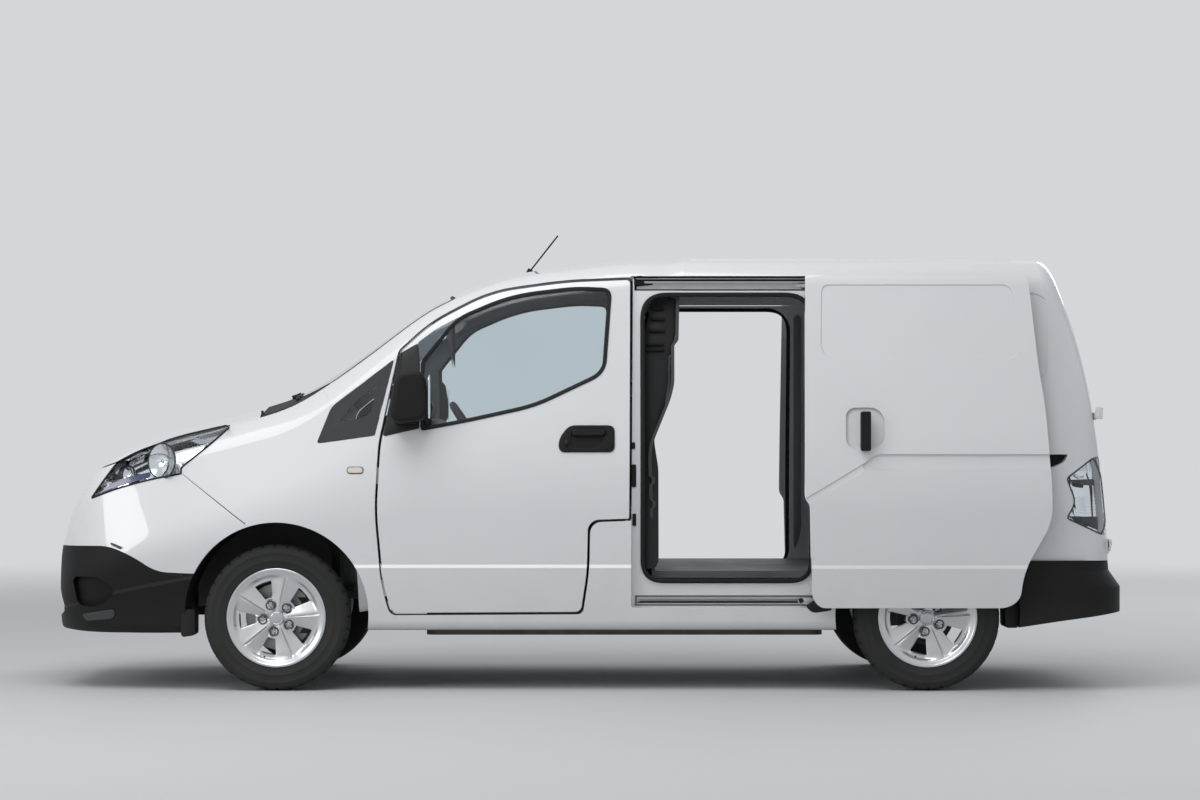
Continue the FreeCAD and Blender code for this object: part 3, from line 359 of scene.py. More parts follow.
def bridged(outer, inner, view, thick, soft):
    """Strip between two rings of as many places each, thickened towards the viewer."""
    strip = merged([ring(inner), ring(outer)])
    edit(strip, bpy.ops.mesh.bridge_edge_loops)
    thickened(strip, -SIGHT_LINES[view][3], thick, soft)
    return strip


def band(outer, inner, view, tree, thick, soft=0.0012):
    """Strip between two outlines with as many points each, laid on a panel."""
    outer, inner = ([on_panel(tree, view, spot) for spot in line] for line in (outer, inner))
    return bridged(outer, inner, view, thick, soft)


def plate(line, view, tree, thick, soft=0.0015, drape=True):
    """Filled plate inside an outline, laid on a panel or stretched flat over it."""
    sheet = fresh(bpy.ops.mesh.primitive_circle_add, vertices=len(line), fill_type="TRIFAN")
    middle = sum(line, Vector((0, 0))) / len(line)
    places = [on_panel(tree, view, spot) for spot in line]
    rim = [vertex for vertex in sheet.data.vertices if vertex.co.length > 0.5]
    hub = [vertex for vertex in sheet.data.vertices if vertex.co.length <= 0.5][0]
    for vertex, spot in zip(rim, places):
        vertex.co = spot
    hub.co = on_panel(tree, view, middle) if drape else sum(places, Vector()) / len(places)
    edit(sheet, lambda: bpy.ops.mesh.subdivide(number_cuts=3))
    if drape:
        across, up = SIGHT_LINES[view][:2]
        for vertex in sheet.data.vertices:
            vertex.co = on_panel(tree, view, (vertex.co.dot(across), vertex.co.dot(up)))
    thickened(sheet, -SIGHT_LINES[view][3], thick, soft)
    return sheet


rubber_seal = finish("seal_rubber", (0.0095, 0.0095, 0.010), (0.006, 0.006, 0.006), 12, (0.5, 0.72), 1800,
                     0.00015,
                     Specular_IOR_Level=0.25)
sail_plastic = finish("sail_plastic", (0.0150, 0.0148, 0.0155), (0.0100, 0.0100, 0.0105), 8, (0.38, 0.5),
                      1500,
                      0.0001, Specular_IOR_Level=0.3)
# The window corner is a dark blue-grey gloss plate laid where the glass shows the shaded far pillar through
# it: painted shade.
corner_painted_shade = finish("corner_painted_shade", (0.085, 0.110, 0.130), (0.060, 0.080, 0.098), 6, (0.06, 0.14), 900,
                      0.00001,
                      Coat_Weight=1.0)
window_line = eased(WINDOW_LINE)
for side, _ in SIDES:
    door_skin = skin("front_door_" + side, "door_glass_" + side)
    seal = band(inset(window_line, SEAL_EDGES[0]), inset(window_line, SEAL_EDGES[1]), side, door_skin,
                SEAL_THICK)
    fit(seal, "window_seal_" + side, rubber_seal, "front_door_" + side)
    sail = plate(eased(SAIL_LINE), side, skin("front_door_" + side), 0.003)
    fit(sail, "sail_panel_" + side, sail_plastic, "front_door_" + side)
    corner = plate(eased(CORNER_LINE, 0.008), side, skin("front_door_" + side), 0.002, 0)
    fit(corner, "window_corner_" + side, corner_painted_shade, "front_door_" + side)

# Quarter lights.
# Glass bonded over the pillar, printed black right round a small clear eye.
QUARTER_LINE = ((-822, 1392, 12), (-1086, 1190, 24), (-1146, 1034, 14), (-899, 1068, 10))
QUARTER_EYE = ((-890, 1288, 22), (-990, 1205, 60), (-1052, 1128, 12), (-922, 1148, 38))
frit = finish("printed_glass", (0.012, 0.012, 0.013), (0.008, 0.008, 0.009), 5, (0.08, 0.16), 900, 0.00001,
              Coat_Weight=1.0)
for side, _ in SIDES:
    outer = spaced(inset(eased(QUARTER_LINE), 0.002), 72)
    inner = spaced(eased(QUARTER_EYE, 0.004), 72)
    rim = band(outer, inner, side, skin("quarter_glasses"), 0.0012, 0)
    fit(rim, "quarter_print_" + side, frit)

# Windscreen surround.
# A printed border hides the glue line, and a rubber lip closes the gap to the roof, pillars and cowl.
SCREEN_HALF = ((-570, -632, 40), (-600, -300, 100))
SCREEN_SIDE = ((-1288, -260, 60), (-1255, -420, 80), (-1120, -664, 60), (-960, -668, 60), *SCREEN_HALF)
screen_line = eased(SCREEN_SIDE + tuple((x, -y, back) for x, y, back in reversed(SCREEN_SIDE)), 0.02)
screen_skin = skin("windscreen", "roof", "scuttle", "front_wings", "bonnet", "body_side_left",
                   "body_side_right")
outer, inner = inset(screen_line, 0.004), inset(screen_line, 0.045)
print_edge = band(outer, inner, "above", skin("windscreen"), 0.0008, 0)
fit(print_edge, "windscreen_print", frit)
screen_lip = band(inset(screen_line, -0.004), inset(screen_line, 0.008), "above", screen_skin, 0.003)
fit(screen_lip, "windscreen_lip", rubber_seal)

# Door handles.
# Each front door has a black plate with a hollow for the fingers, a pull lever across its top and a lock.
HANDLE_PLATE = ((-128, 998, 26), (-128, 1056, 44), (-84, 1111, 24), (106, 1111, 26), (106, 998, 26))
HANDLE_HOLLOW = ((-76, 1018, 22), (-76, 1074, 20), (-60, 1096, 16), (70, 1096, 12), (46, 1018, 34))
HANDLE_STEPS = 64
HANDLE_PARTS = (("handle_lever_", ((-72, 1066, 10), (-72, 1094, 10), (70, 1094, 10), (62, 1066, 10)), 0.006,
                 0.020, 0.004, trim),
                ("lock_barrel_", ((-103, 1030, 8), (-103, 1048, 8), (-89, 1048, 8), (-89, 1030, 8)), 0.002,
                 0.022, 0.001, sail_plastic))
for side, _ in SIDES:
    door = "front_door_" + side
    door_skin = skin(door)
    surround = band(spaced(eased(HANDLE_PLATE), HANDLE_STEPS),
                    spaced(eased(HANDLE_HOLLOW, 0.005), HANDLE_STEPS),
                    side, door_skin, 0.006, 0.002)
    fit(surround, "handle_plate_" + side, trim, door)
    hollow = plate(inset(eased(HANDLE_PLATE, 0.008), 0.012), side, door_skin, 0.002)
    fit(hollow, "handle_hollow_" + side, trim, door)
    for name, outline, gap, thick, soft, look in HANDLE_PARTS:
        piece = plate(eased(outline, gap), side, door_skin, thick, soft)
        fit(piece, name + side, look, door)

# Tyres.
# Moulded rubber with three grooves round the tread, cross cuts in both shoulders and ribs on the side.
WHEEL_PLACES = (("fl", -1.310, -1), ("fr", -1.310, 1), ("rl", 1.415, -1), ("rr", 1.415, 1))
HUB_Y, HUB_Z = 0.765, 0.306
TYRE_PROFILE = ((206.3, -82), (210, -88), (222, -91), (236, -91.8), (238, -93), (241, -93), (243, -91.8),
                (258, -91.6), (268, -90.4), (270, -91.2), (273, -90.8), (275, -89.4), (284, -86.6),
                (290, -82),
                (295.5, -78), (300.5, -69), (303.2, -58), (304.4, -41), (298, -40), (298, -33),
                (305.2, -32),
                (305.6, -5), (299, -4), (299, 4), (305.6, 5), (305.2, 32), (298, 33), (298, 40),
                (304.4, 41),
                (303.2, 58), (300.5, 69), (295.5, 78), (290, 82), (284, 86.6), (275, 89.4), (258, 91.6),
                (241, 92.4), (222, 91), (210, 88), (206.3, 82), (197, 72), (197, -72))
TREAD_STEPS = 180
CUT_EVERY, CUT_DEPTH = 5, 0.0045
CUT_INNER, CUT_OUTER, CUT_RADIUS = 0.044, 0.080, 0.28


def lathe(profile, steps):
    """Closed profile of radius and offset, in millimetres, spun about the wheel's axle."""
    wheel = ring([Vector((radius, offset, 0)) / MM for radius, offset in profile])
    edit(wheel, lambda: bpy.ops.mesh.spin(steps=steps, angle=2 * math.pi, center=(0, 0, 0), axis=(0, 1, 0)),
         lambda: bpy.ops.mesh.select_all(action="SELECT"),
         lambda: bpy.ops.mesh.remove_doubles(threshold=0.00001),
         lambda: bpy.ops.mesh.normals_make_consistent(inside=False))
    return wheel


def pick(piece, chosen):
    """Select the faces of a piece whose centre and normal pass a test."""
    bpy.ops.object.mode_set(mode="OBJECT")
    for part in (piece.data.vertices, piece.data.edges):
        part.foreach_set("select", [False] * len(part))
    for face in piece.data.polygons:
        face.select = bool(chosen(face.center, face.normal))
    bpy.ops.object.mode_set(mode="EDIT")
    bpy.ops.mesh.select_mode(type="FACE")


def on_shoulder_cut(centre, _):
    """Whether a face of the tyre lies in one of the cross cuts."""
    step = round(math.degrees(math.atan2(centre.z, centre.x)) / (360 / TREAD_STEPS) - 0.5)
    radius = math.hypot(centre.x, centre.z)
    return step % CUT_EVERY == 0 and CUT_INNER < abs(centre.y) < CUT_OUTER and radius > CUT_RADIUS


def duplicate(model):
    """Copy of an object with a mesh of its own."""
    piece = bpy.data.objects.new("copy", model.data.copy())
    bpy.context.collection.objects.link(piece)
    return piece


def on_wheel(model, centre_x, side):
    """Copy of a piece modelled on the origin, with its outer face turned to its own side of the van."""
    piece = duplicate(model)
    turn = Matrix.Rotation(math.pi, 4, "Z") if side > 0 else Matrix.Identity(4)
    piece.data.transform(Matrix.Translation((centre_x, side * HUB_Y, HUB_Z)) @ turn)
    return piece


rubber = dusted(finish("tyre_rubber", (0.026, 0.026, 0.026), (0.016, 0.016, 0.016), 8, (0.65, 0.9), 500,
                       0.0003,
                       Specular_IOR_Level=0.25), DUST, (0.62, 0.0), 0.06)
tyre_model = lathe(TYRE_PROFILE, TREAD_STEPS)
edit(tyre_model, lambda: pick(tyre_model, on_shoulder_cut),
     lambda: bpy.ops.mesh.extrude_region_shrink_fatten(TRANSFORM_OT_shrink_fatten={"value": -CUT_DEPTH}))
for name, centre_x, side in WHEEL_PLACES:
    tyre = on_wheel(tyre_model, centre_x, side)
    fit(tyre, "tread_" + name, rubber, "wheel_" + name)
    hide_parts("tyre_" + name)
bpy.data.objects.remove(tyre_model)

# Alloy rims.
# One casting with five broad spokes. Each spoke has two tilted, machined faces that meet at a groove and a
# thin ridge, between five deep windows, and the nuts stand in round pockets beside the hub.
SPOKE_TURN = math.radians(14.2)
SPOKES = 5
RIM_RADII = (29, 42, 56, 72, 88, 106, 124, 142, 157, 170, 179, 187)
WINDOW_RADII = (88, 157)
SPOKE_COLUMNS = (-1.0, -0.72, -0.40, -0.11, -0.06, 0.0, 0.05, 0.11, 0.40, 0.72, 1.0)
WINDOW_COLUMNS = 5
RIM_BARREL = ((180, -83), (187, -88), (196, -89.5), (199, -92), (205, -92.2), (207.5, -90), (207.5, -86),
              (202, -84),
              (199, -74), (190, -66), (184, -40), (184, 60), (199, 78), (207.5, 86), (207.5, 92), (200, 92),
              (190, 84), (178, 66), (177, -40), (177, -72))
RIM_HUB = ((0.5, -66), (31, -66), (34, -62), (74, -50), (74, -38), (34, -36), (34, -34.8), (0.5, -34.8))
RIM_CAP = ((0.5, -79), (14, -79.4), (23, -78), (25, -76.6), (27, -78), (30, -77.6), (31.5, -75),
           (31.5, -66), (0.5, -66))
NUT_PROFILE = ((0.3, -73), (4.5, -72.6), (6, -70.5), (9.6, -69.5), (10.2, -66), (10.2, -52), (0.3, -52))
NUT_POCKET = ((14.5, -76), (17.5, -77.5), (19.5, -75), (19.5, -54), (0.3, -54), (0.3, -57), (14, -57))
VALVE_PROFILE = ((0.3, -84), (3.4, -84), (3.4, -76), (4.6, -74), (5.0, -60), (0.3, -60))
HALF_SECTOR = math.radians(36)
NUT_R, NUT_LAG = 0.0585, math.radians(4)
VALVE_R, VALVE_OFFSET, VALVE_TURN = 0.170, 0.012, SPOKE_TURN + math.radians(183)


def rim_depth(radius, across):
    """How far out the spoke's face stands at a radius and a share across the spoke."""
    crown = -75 - 8 * min(1.0, max(0.0, (radius - 50) / 110)) if radius > 30 else -72
    fall = (22 if across < 0 else 15) * max(0.0, abs(across) - 0.11) * min(1.0, radius / 100)
    groove = 9.0 if -0.10 < across < -0.03 and radius > 50 else 0.0
    ridge = -2.2 if 0.02 < across < 0.08 and radius > 50 else 0.0
    return crown + fall + groove + ridge


def spoke_half_angle(radius):
    """Half the angle that a spoke takes up at a radius."""
    return math.radians(36 - (10.5 + 3.2 * (radius - 88) / 69))


def shape_sector(sheet):
    """Move a flat grid on to one fifth of the rim's face, with a spoke in its middle."""
    window_share = [k / WINDOW_COLUMNS for k in range(1, WINDOW_COLUMNS + 1)]
    columns = [("window", -share) for share in reversed(window_share)]
    columns += [("spoke", share) for share in SPOKE_COLUMNS]
    columns += [("window", share) for share in window_share]
    for vertex in sheet.data.vertices:
        row, column = divmod(vertex.index, len(columns))
        radius, (zone, share) = RIM_RADII[row], columns[column]
        half = spoke_half_angle(radius)
        if zone == "spoke":
            angle, depth = share * half, rim_depth(radius, share)
        else:
            angle = math.copysign(half + abs(share) * (HALF_SECTOR - half), share)
            sink = 6 * math.sin(math.pi / 2 * min(1.0, abs(share) * 1.6))
            depth = rim_depth(radius, 1.0) + (sink if radius < 88 or radius > 157 else 0)
        if radius >= 179:
            depth = -84.0 if radius < 185 else -86.0
        vertex.co = Vector((radius * math.sin(angle), depth, radius * math.cos(angle))) / MM


def in_window(centre, _):
    """Whether a face of the rim lies in the opening between two spokes."""
    radius, angle = math.hypot(centre.x, centre.z) * MM, abs(math.atan2(centre.x, centre.z))
    return WINDOW_RADII[0] < radius < WINDOW_RADII[1] and angle > spoke_half_angle(radius)


def at_nuts(profile, steps):
    """Five copies of a spun profile, one at each wheel nut."""
    copies = []
    for turn in range(SPOKES):
        angle = SPOKE_TURN + 2 * math.pi * (turn + 0.5) / SPOKES - NUT_LAG
        copies.append(lathe(profile, steps))
        copies[-1].data.transform(Matrix.Translation((NUT_R * math.sin(angle), 0, NUT_R * math.cos(angle))))
    return merged(copies)


face_model = fresh(bpy.ops.mesh.primitive_grid_add,
                   x_subdivisions=len(SPOKE_COLUMNS) + 2 * WINDOW_COLUMNS - 1,
                   y_subdivisions=len(RIM_RADII) - 1, size=1)
shape_sector(face_model)
edit(face_model, lambda: pick(face_model, in_window), lambda: bpy.ops.mesh.delete(type="FACE"))
sectors = [face_model]
for turn in range(1, SPOKES):
    sectors.append(duplicate(face_model))
    sectors[-1].data.transform(Matrix.Rotation(turn * 2 * math.pi / SPOKES, 4, "Y"))
merged(sectors)
edit(face_model, lambda: bpy.ops.mesh.remove_doubles(threshold=0.0002),
     lambda: bpy.ops.mesh.normals_make_consistent(inside=False))
if sum(face.normal.y for face in face_model.data.polygons) > 0:
    edit(face_model, bpy.ops.mesh.flip_normals)
shaped(face_model, "SUBSURF", levels=1, render_levels=1)
shaped(face_model, "SOLIDIFY", thickness=0.016, offset=-1.0, use_even_offset=False)
shaped(face_model, "BEVEL", width=0.0012, segments=2, limit_method="ANGLE", angle_limit=math.radians(50))
merged([face_model, lathe(RIM_BARREL, 120), lathe(RIM_HUB, 64)])
face_model.data.transform(Matrix.Rotation(SPOKE_TURN, 4, "Y"))
nut_model, pocket_model = at_nuts(NUT_PROFILE, 6), at_nuts(NUT_POCKET, 28)
cap_model = lathe(RIM_CAP, 64)
valve_model = lathe(VALVE_PROFILE, 16)
valve_model.data.transform(Matrix.Translation((VALVE_R * math.sin(VALVE_TURN), VALVE_OFFSET,
                                               VALVE_R * math.cos(VALVE_TURN))))
alloy = finish("alloy", (0.66, 0.67, 0.68), (0.54, 0.55, 0.56), 10, (0.24, 0.36), 900, 0.00003,
               Metallic=0.8, Coat_Weight=0.6, Coat_Roughness=0.08)
cap_look = finish("wheel_cap", (0.55, 0.56, 0.58), (0.45, 0.46, 0.48), 40, (0.2, 0.3), 1200, 0.00002,
                  Metallic=0.6, Coat_Weight=0.8)
# The nut pockets get a near-black finish that stands for the shade deep inside them: painted shade.
pocket_painted_shade = finish("painted_shade_nut_pocket", (0.10, 0.10, 0.105), (0.05, 0.05, 0.055), 60, (0.4, 0.6), 900, 0.00003,
                     Metallic=0.5)
RIM_FITTINGS = ((cap_model, "hub_cap_", cap_look, "alloy"), (valve_model, "valve_", rubber_seal, "tyre"),
                (nut_model, "wheel_nuts_", cap_look, "alloy"),
                (pocket_model, "nut_pockets_", pocket_painted_shade, "alloy"))
for name, centre_x, side in WHEEL_PLACES:
    rim = fit(on_wheel(face_model, centre_x, side), "alloy_" + name, alloy, "wheel_" + name)
    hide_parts("rim_" + name)
    for model, kind, look, place in RIM_FITTINGS:
        fit(on_wheel(model, centre_x, side), kind + name, look, "wheel_" + name)
for model in (face_model, cap_model, valve_model, nut_model, pocket_model):
    bpy.data.objects.remove(model)

# Headlamps.
# A clear cover over a chromed body, with a round main reflector in a dark hoop, a smaller indicator in
# front of it and a blue-tinted bar along the lower edge. A rubber gasket closes the gap round it.
LAMP_LINE = ((-2110, 800, 12), (-1983, 847, 60), (-1842, 884, 60), (-1714, 907, 6), (-1719, 931, 14),
             (-1588, 1038, 60), (-1525, 1100, 6), (-1525, 1115, 6), (-1736, 1067, 60), (-1912, 1002, 40),
             (-2003, 953, 10))
GLASS_THICK, TRAY_THICK, WALL_SHARE = 0.0025, 0.0015, 0.96
REFLECTORS = (("main", -1.800, 0.752, 0.962, 72), ("indicator", -1.945, 0.712, 0.905, 32))
LAMP_FACING = (-0.55, 0.83, 0.05)
BLUE_BAR = ((-2092, 812, 6), (-1978, 858, 60), (-1850, 893, 6), (-1846, 916, 6), (-1986, 886, 60))


def outer_faces(name, keep):
    """Copy of those faces of a CAD node that pass a test, merged into one open sheet."""
    sheet = duplicate(nodes[name])
    edit(sheet, lambda: bpy.ops.mesh.remove_doubles(threshold=0.00001),
         lambda: pick(sheet, lambda centre, normal: not keep(centre, normal)),
         lambda: bpy.ops.mesh.delete(type="FACE"))
    return sheet


def hollowed(sheet, inward):
    """Sink a sheet and raise walls from its edge back to where it was, as an open tray."""
    back = [-WALL_SHARE * part for part in inward]
    edit(sheet, lambda: bpy.ops.transform.translate(value=inward), bpy.ops.mesh.region_to_loop,
         lambda: bpy.ops.mesh.extrude_edges_move(TRANSFORM_OT_translate={"value": back}))
    shaped(sheet, "SOLIDIFY", thickness=TRAY_THICK, offset=0.0)
    return sheet


def lathe_at(profile, steps, place, facing):
    """Spun piece whose outer end looks along a direction."""
    piece = lathe(profile, steps)
    turn = Vector(facing).to_track_quat("-Y", "Z").to_matrix().to_4x4()
    piece.data.transform(Matrix.Translation(place) @ turn)
    return piece


def lamp_shell(lamps, name, keep, shift, sink):
    """Clear cover over one side's lamp of a CAD node, with a chromed tray behind it."""
    cover = outer_faces(lamps, keep)
    shaped(cover, "SOLIDIFY", thickness=GLASS_THICK, offset=-1.0)
    fit(cover, name[0], lamp_cover)
    bowl = outer_faces(lamps, keep)
    bowl.data.transform(Matrix.Translation(shift))
    fit(hollowed(bowl, sink), name[1], chrome)
    return cover


chrome = finish("reflector_chrome", (0.90, 0.91, 0.92), (0.80, 0.81, 0.83), 9, (0.06, 0.16), 260, 0.00003,
                Metallic=1.0)
lamp_cover = finish("lamp_cover", (0.96, 0.97, 0.98), (0.90, 0.93, 0.95), 4, (0.0, 0.03), 90, 0.000004,
                    Transmission_Weight=1.0, IOR=1.3)
# Black of the lamp bezels, hoops and gaskets, also laid as painted shade under the tail lamp lobes.
bezel_and_painted_shade = finish("lamp_bezel_and_painted_shade", (0.040, 0.041, 0.043), (0.022, 0.022, 0.024), 14, (0.2, 0.35), 700,
                    0.00004)
blue_bar = finish("blue_bar", (0.035, 0.060, 0.16), (0.020, 0.030, 0.085), 20, (0.08, 0.2), 500, 0.00003,
                  Coat_Weight=0.8)
lamp_skin = skin("headlamps")
for side, way in SIDES:
    def on_lamp(centre, normal, way=way):
        return centre.y * way > 0 and normal.y * way + 0.5 * max(0.0, -normal.x) > 0.22 and normal.z > -0.9

    cover = lamp_shell("headlamps", ("headlamp_cover_" + side, "headlamp_body_" + side), on_lamp,
                       (0.002, -way * 0.004, 0), (0.030, -way * 0.055, -0.004))
    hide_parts("headlamps")
    facing = Vector((LAMP_FACING[0], way * LAMP_FACING[1], LAMP_FACING[2]))
    for name, x, y, z, rim in REFLECTORS:
        place = (x, way * y, z)
        dish = lathe_at(((0.5, 0.42 * rim), (0.34 * rim, 0.36 * rim), (0.68 * rim, 0.20 * rim), (rim, -2),
                         (rim + 2, -2), (0.70 * rim, 0.25 * rim), (0.36 * rim, 0.42 * rim),
                         (0.5, 0.47 * rim)),
                        48, place, facing)
        hoop = lathe_at(((rim - 1, -4), (rim + 5, -5), (rim + 6, -1), (rim + 4, 3), (rim, 1)), 48,
                        place, facing)
        bulb = lathe_at(((0.5, -0.10 * rim), (0.10 * rim, -0.06 * rim), (0.15 * rim, 0.06 * rim),
                         (0.15 * rim, 0.40 * rim), (0.5, 0.40 * rim)), 24, place, facing)
        for piece, kind, look in ((dish, "reflector", chrome), (hoop, "hoop", bezel_and_painted_shade),
                                  (bulb, "bulb", lamp_cover)):
            fit(piece, "headlamp_%s_%s_%s" % (name, kind, side), look)
    bar = plate(eased(BLUE_BAR, 0.008), side, lamp_skin, 0.0008, 0)
    fit(bar, "headlamp_bar_" + side, blue_bar)
    gasket_line = eased(LAMP_LINE, 0.010)
    nose_skin = skin("headlamps", "front_wings", "bonnet", "front_fascia")
    gasket = band(inset(gasket_line, -0.0015), inset(gasket_line, 0.0055), side, nose_skin, 0.0022, 0.0006)
    fit(gasket, "headlamp_gasket_" + side, rubber_seal)

# Tail lamps.
# Two chromed lobes with a dark wedge of painted shade under each, and a ribbed clear reversing lamp between
# them, under one moulded cover.
TAIL_LINE = ((2117, 980, 20), (1992, 891, 14), (2030, 790, 30), (1992, 722, 14), (2146, 652, 10),
             (2172, 700, 40),
             (2160, 880, 40))
TAIL_SHADE_WEDGES = (((2006, 884, 4), (2050, 862, 20), (2118, 858, 4), (2118, 886, 4)),
               ((2008, 730, 4), (2060, 700, 20), (2130, 672, 4), (2130, 730, 4)))
TAIL_RIBS = (808, 795, 782, 769, 756, 743)
TAIL_LOBES = (("upper", 2.058, 0.812, 0.918, 26), ("lower", 2.066, 0.798, 0.752, 24))
tail_skin = skin("tail_lamps")
for side, way in SIDES:
    def on_tail(centre, normal, way=way):
        return centre.y * way > 0 and normal.y * way + max(0.0, normal.x) > 0.35

    cover = lamp_shell("tail_lamps", ("tail_cover_" + side, "tail_body_" + side), on_tail,
                       (-0.003, -way * 0.003, 0), (-0.022, -way * 0.034, 0))
    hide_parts("tail_lamps")
    # Dark wedges in the bezel black lie under each chromed lobe as painted shade.
    for number, wedge in enumerate(TAIL_SHADE_WEDGES):
        shade = plate(eased(wedge, 0.008), side, tail_skin, 0.0008, 0)
        shade.data.transform(Matrix.Translation((-0.001, -way * 0.008, 0)))
        fit(shade, "tail_shade_%d_%s" % (number, side), bezel_and_painted_shade)
    for number, height in enumerate(TAIL_RIBS):
        rib = plate(eased(((2046, height, 2), (2046, height + 5, 2), (2128, height + 5, 2),
                           (2128, height, 2)), 0.008),
                    side, tail_skin, 0.003, 0.001)
        rib.data.transform(Matrix.Translation((-0.002, -way * 0.007, 0)))
        fit(rib, "tail_rib_%d_%s" % (number, side), lamp_cover)
    for name, x, y, z, rim in TAIL_LOBES:
        dish = lathe_at(((0.5, 0.42 * rim), (0.68 * rim, 0.20 * rim), (rim, -2), (rim + 2, -2),
                         (0.70 * rim, 0.25 * rim), (0.5, 0.47 * rim)), 40, (x, way * y, z),
                        (0.35, way * 0.93, 0))
        fit(dish, "tail_%s_reflector_%s" % (name, side), chrome)
    gasket_line = eased(TAIL_LINE, 0.010)
    gasket = band(inset(gasket_line, -0.001), inset(gasket_line, 0.005), side,
                  skin("tail_lamps", "body_side_" + side, "rear_door_" + side), 0.002, 0.0006)
    fit(gasket, "tail_gasket_" + side, bezel_and_painted_shade)

# Side doorways.
# A black rubber seal is pushed on to the flange right round each opening. The rebate carries black striker
# plates, guide wedges, and a channel above and below for the rollers of the sliding door.
DOORWAY_LINE = ((217, 452, 95), (937, 452, 95), (937, 1670, 110), (217, 1670, 110))
SEAL_WIDTH = 0.019
STRIKERS = (((176, 1012, 4), (176, 1040, 4), (192, 1040, 4), (192, 1012, 4)),
            ((177, 852, 6), (177, 948, 6), (196, 948, 6), (196, 852, 6)),
            ((180, 690, 4), (180, 742, 4), (196, 742, 4), (196, 690, 4)))
CHANNEL_COVER = ((188, 1686, 4), (188, 1744, 4), (968, 1744, 4), (968, 1686, 4))
STEEL_STRIP = ((330, 1690, 2), (330, 1710, 2), (960, 1710, 2), (960, 1690, 2))
RAIL_END = ((1880, 930, 0), (1880, 990, 0), (2002, 990, 8), (1985, 958, 40), (1930, 932, 30))
LOWER_SLOT = ((196, 366, 2), (196, 374, 2), (934, 374, 2), (934, 366, 2))


def slab(line, view, depth, thick, soft=0.0012, lean=0.0):
    """Flat plate inside an outline at a set depth, leaning in above one metre."""
    across, up, _, ahead, _ = SIGHT_LINES[view]
    sheet = ring([across * u + up * v - ahead * (depth - lean * (v - 1)) for u, v in line], "NGON")
    thickened(sheet, -ahead, thick, soft)
    return sheet


def lip(line, width, view, tree, thick, soft):
    """Strip that stands inside an outline at the depth of the panel along it."""
    across, up, _, ahead, _ = SIGHT_LINES[view]
    depths = [ahead * on_panel(tree, view, base).dot(ahead) for base in line]
    outer, inner = ([across * u + up * v + depth for (u, v), depth in zip(edge, depths)]
                    for edge in (line, inset(line, width)))
    return bridged(outer, inner, view, thick, soft)


channel_steel = finish("channel_steel", (0.62, 0.62, 0.63), (0.45, 0.45, 0.46), 16, (0.28, 0.45), 300,
                       0.00005,
                       Metallic=0.9)
for side, _ in SIDES:
    side_skin = skin("body_side_" + side)
    line = eased(DOORWAY_LINE, 0.018)
    seal = lip(inset(line, -0.003), SEAL_WIDTH, side, side_skin, 0.012, 0.004)
    fit(seal, "doorway_seal_" + side, rubber_seal)
    for number, outline in enumerate(STRIKERS):
        striker = plate(eased(outline, 0.006), side, side_skin, 0.004, 0.001)
        fit(striker, "striker_%d_%s" % (number, side), trim)
    cover = plate(eased(CHANNEL_COVER, 0.03), side, side_skin, 0.003, 0)
    fit(cover, "channel_cover_" + side, trim)
    strip = plate(eased(STEEL_STRIP, 0.03), side, side_skin, 0.009, 0.001)
    fit(strip, "channel_strip_" + side, channel_steel)
    slot = slab(eased(LOWER_SLOT, 0.03), side, 0.796, 0.001)
    fit(slot, "channel_slot_" + side, trim)
    end = plate(inset(eased(RAIL_END, 0.01), 0.002), side, side_skin, 0.0015, 0)
    fit(end, "rail_end_" + side, trim)

# Roller arms.
# A pressed steel arm reaches from the foot of each sliding door into the lower channel, with a nylon roller
# on a pin.
ROLLER_ARM = ((952, 362, 6), (930, 356, 10), (880, 364, 10), (872, 374, 8), (884, 386, 10), (952, 388, 6))
ROLLER_BRACKET = ((940, 330, 6), (920, 336, 8), (900, 360, 6), (952, 392, 6), (1010, 380, 10),
                  (1010, 340, 10))
ROLLER_PROFILE = ((0.3, -6), (9, -6), (10.5, -4.5), (10.5, 4.5), (9, 6), (0.3, 6))
ROLLER_X, ROLLER_Y, ROLLER_Z = 0.889, 0.803, 0.376
for side, way in SIDES:
    arm = slab(eased(ROLLER_ARM, 0.008), side, 0.800, 0.006)
    fit(arm, "roller_arm_" + side, channel_steel)
    roller = lathe(ROLLER_PROFILE, 32)
    roller.data.transform(Matrix.Translation((ROLLER_X, way * ROLLER_Y, ROLLER_Z)))
    fit(roller, "roller_" + side, sail_plastic)
    lug = slab(eased(ROLLER_BRACKET, 0.01), side, 0.905, 0.010, 0.002)
    fit(lug, "roller_bracket_" + side, trim)

# Bulkhead trim.
# Moulded black panels clip to each end of the bulkhead beside the doorway, stepped with ribs like a ladder
# at the top.
LADDER_EDGE = ((229, 1470, 10), (262, 1652, 10), (366, 1652, 10), (364, 1500, 8), (349, 1450, 8),
               (349, 1420, 4),
               (333, 1404, 4), (331, 1280, 30), (316, 1180, 40), (270, 1062, 40), (291, 930, 20),
               (291, 540, 20),
               (276, 510, 10), (229, 510, 10))
LADDER_RIBS = ((262, 1600, 318), (256, 1556, 322), (250, 1506, 322), (240, 1448, 318), (238, 1424, 318))
RIB_HEIGHT = 13
for side, _ in SIDES:
    panel = slab(eased(LADDER_EDGE, 0.012), side, 0.742, 0.006, 0.002, 0.12)
    fit(panel, "bulkhead_cover_" + side, sail_plastic)
    for number, (start, low, end) in enumerate(LADDER_RIBS):
        outline = ((start, low, 4), (start, low + RIB_HEIGHT, 4), (end, low + RIB_HEIGHT, 4), (end, low, 4))
        rib = slab(eased(outline, 0.008), side, 0.748, 0.014, 0.003, 0.12)
        fit(rib, "bulkhead_rib_%d_%s" % (number, side), trim)

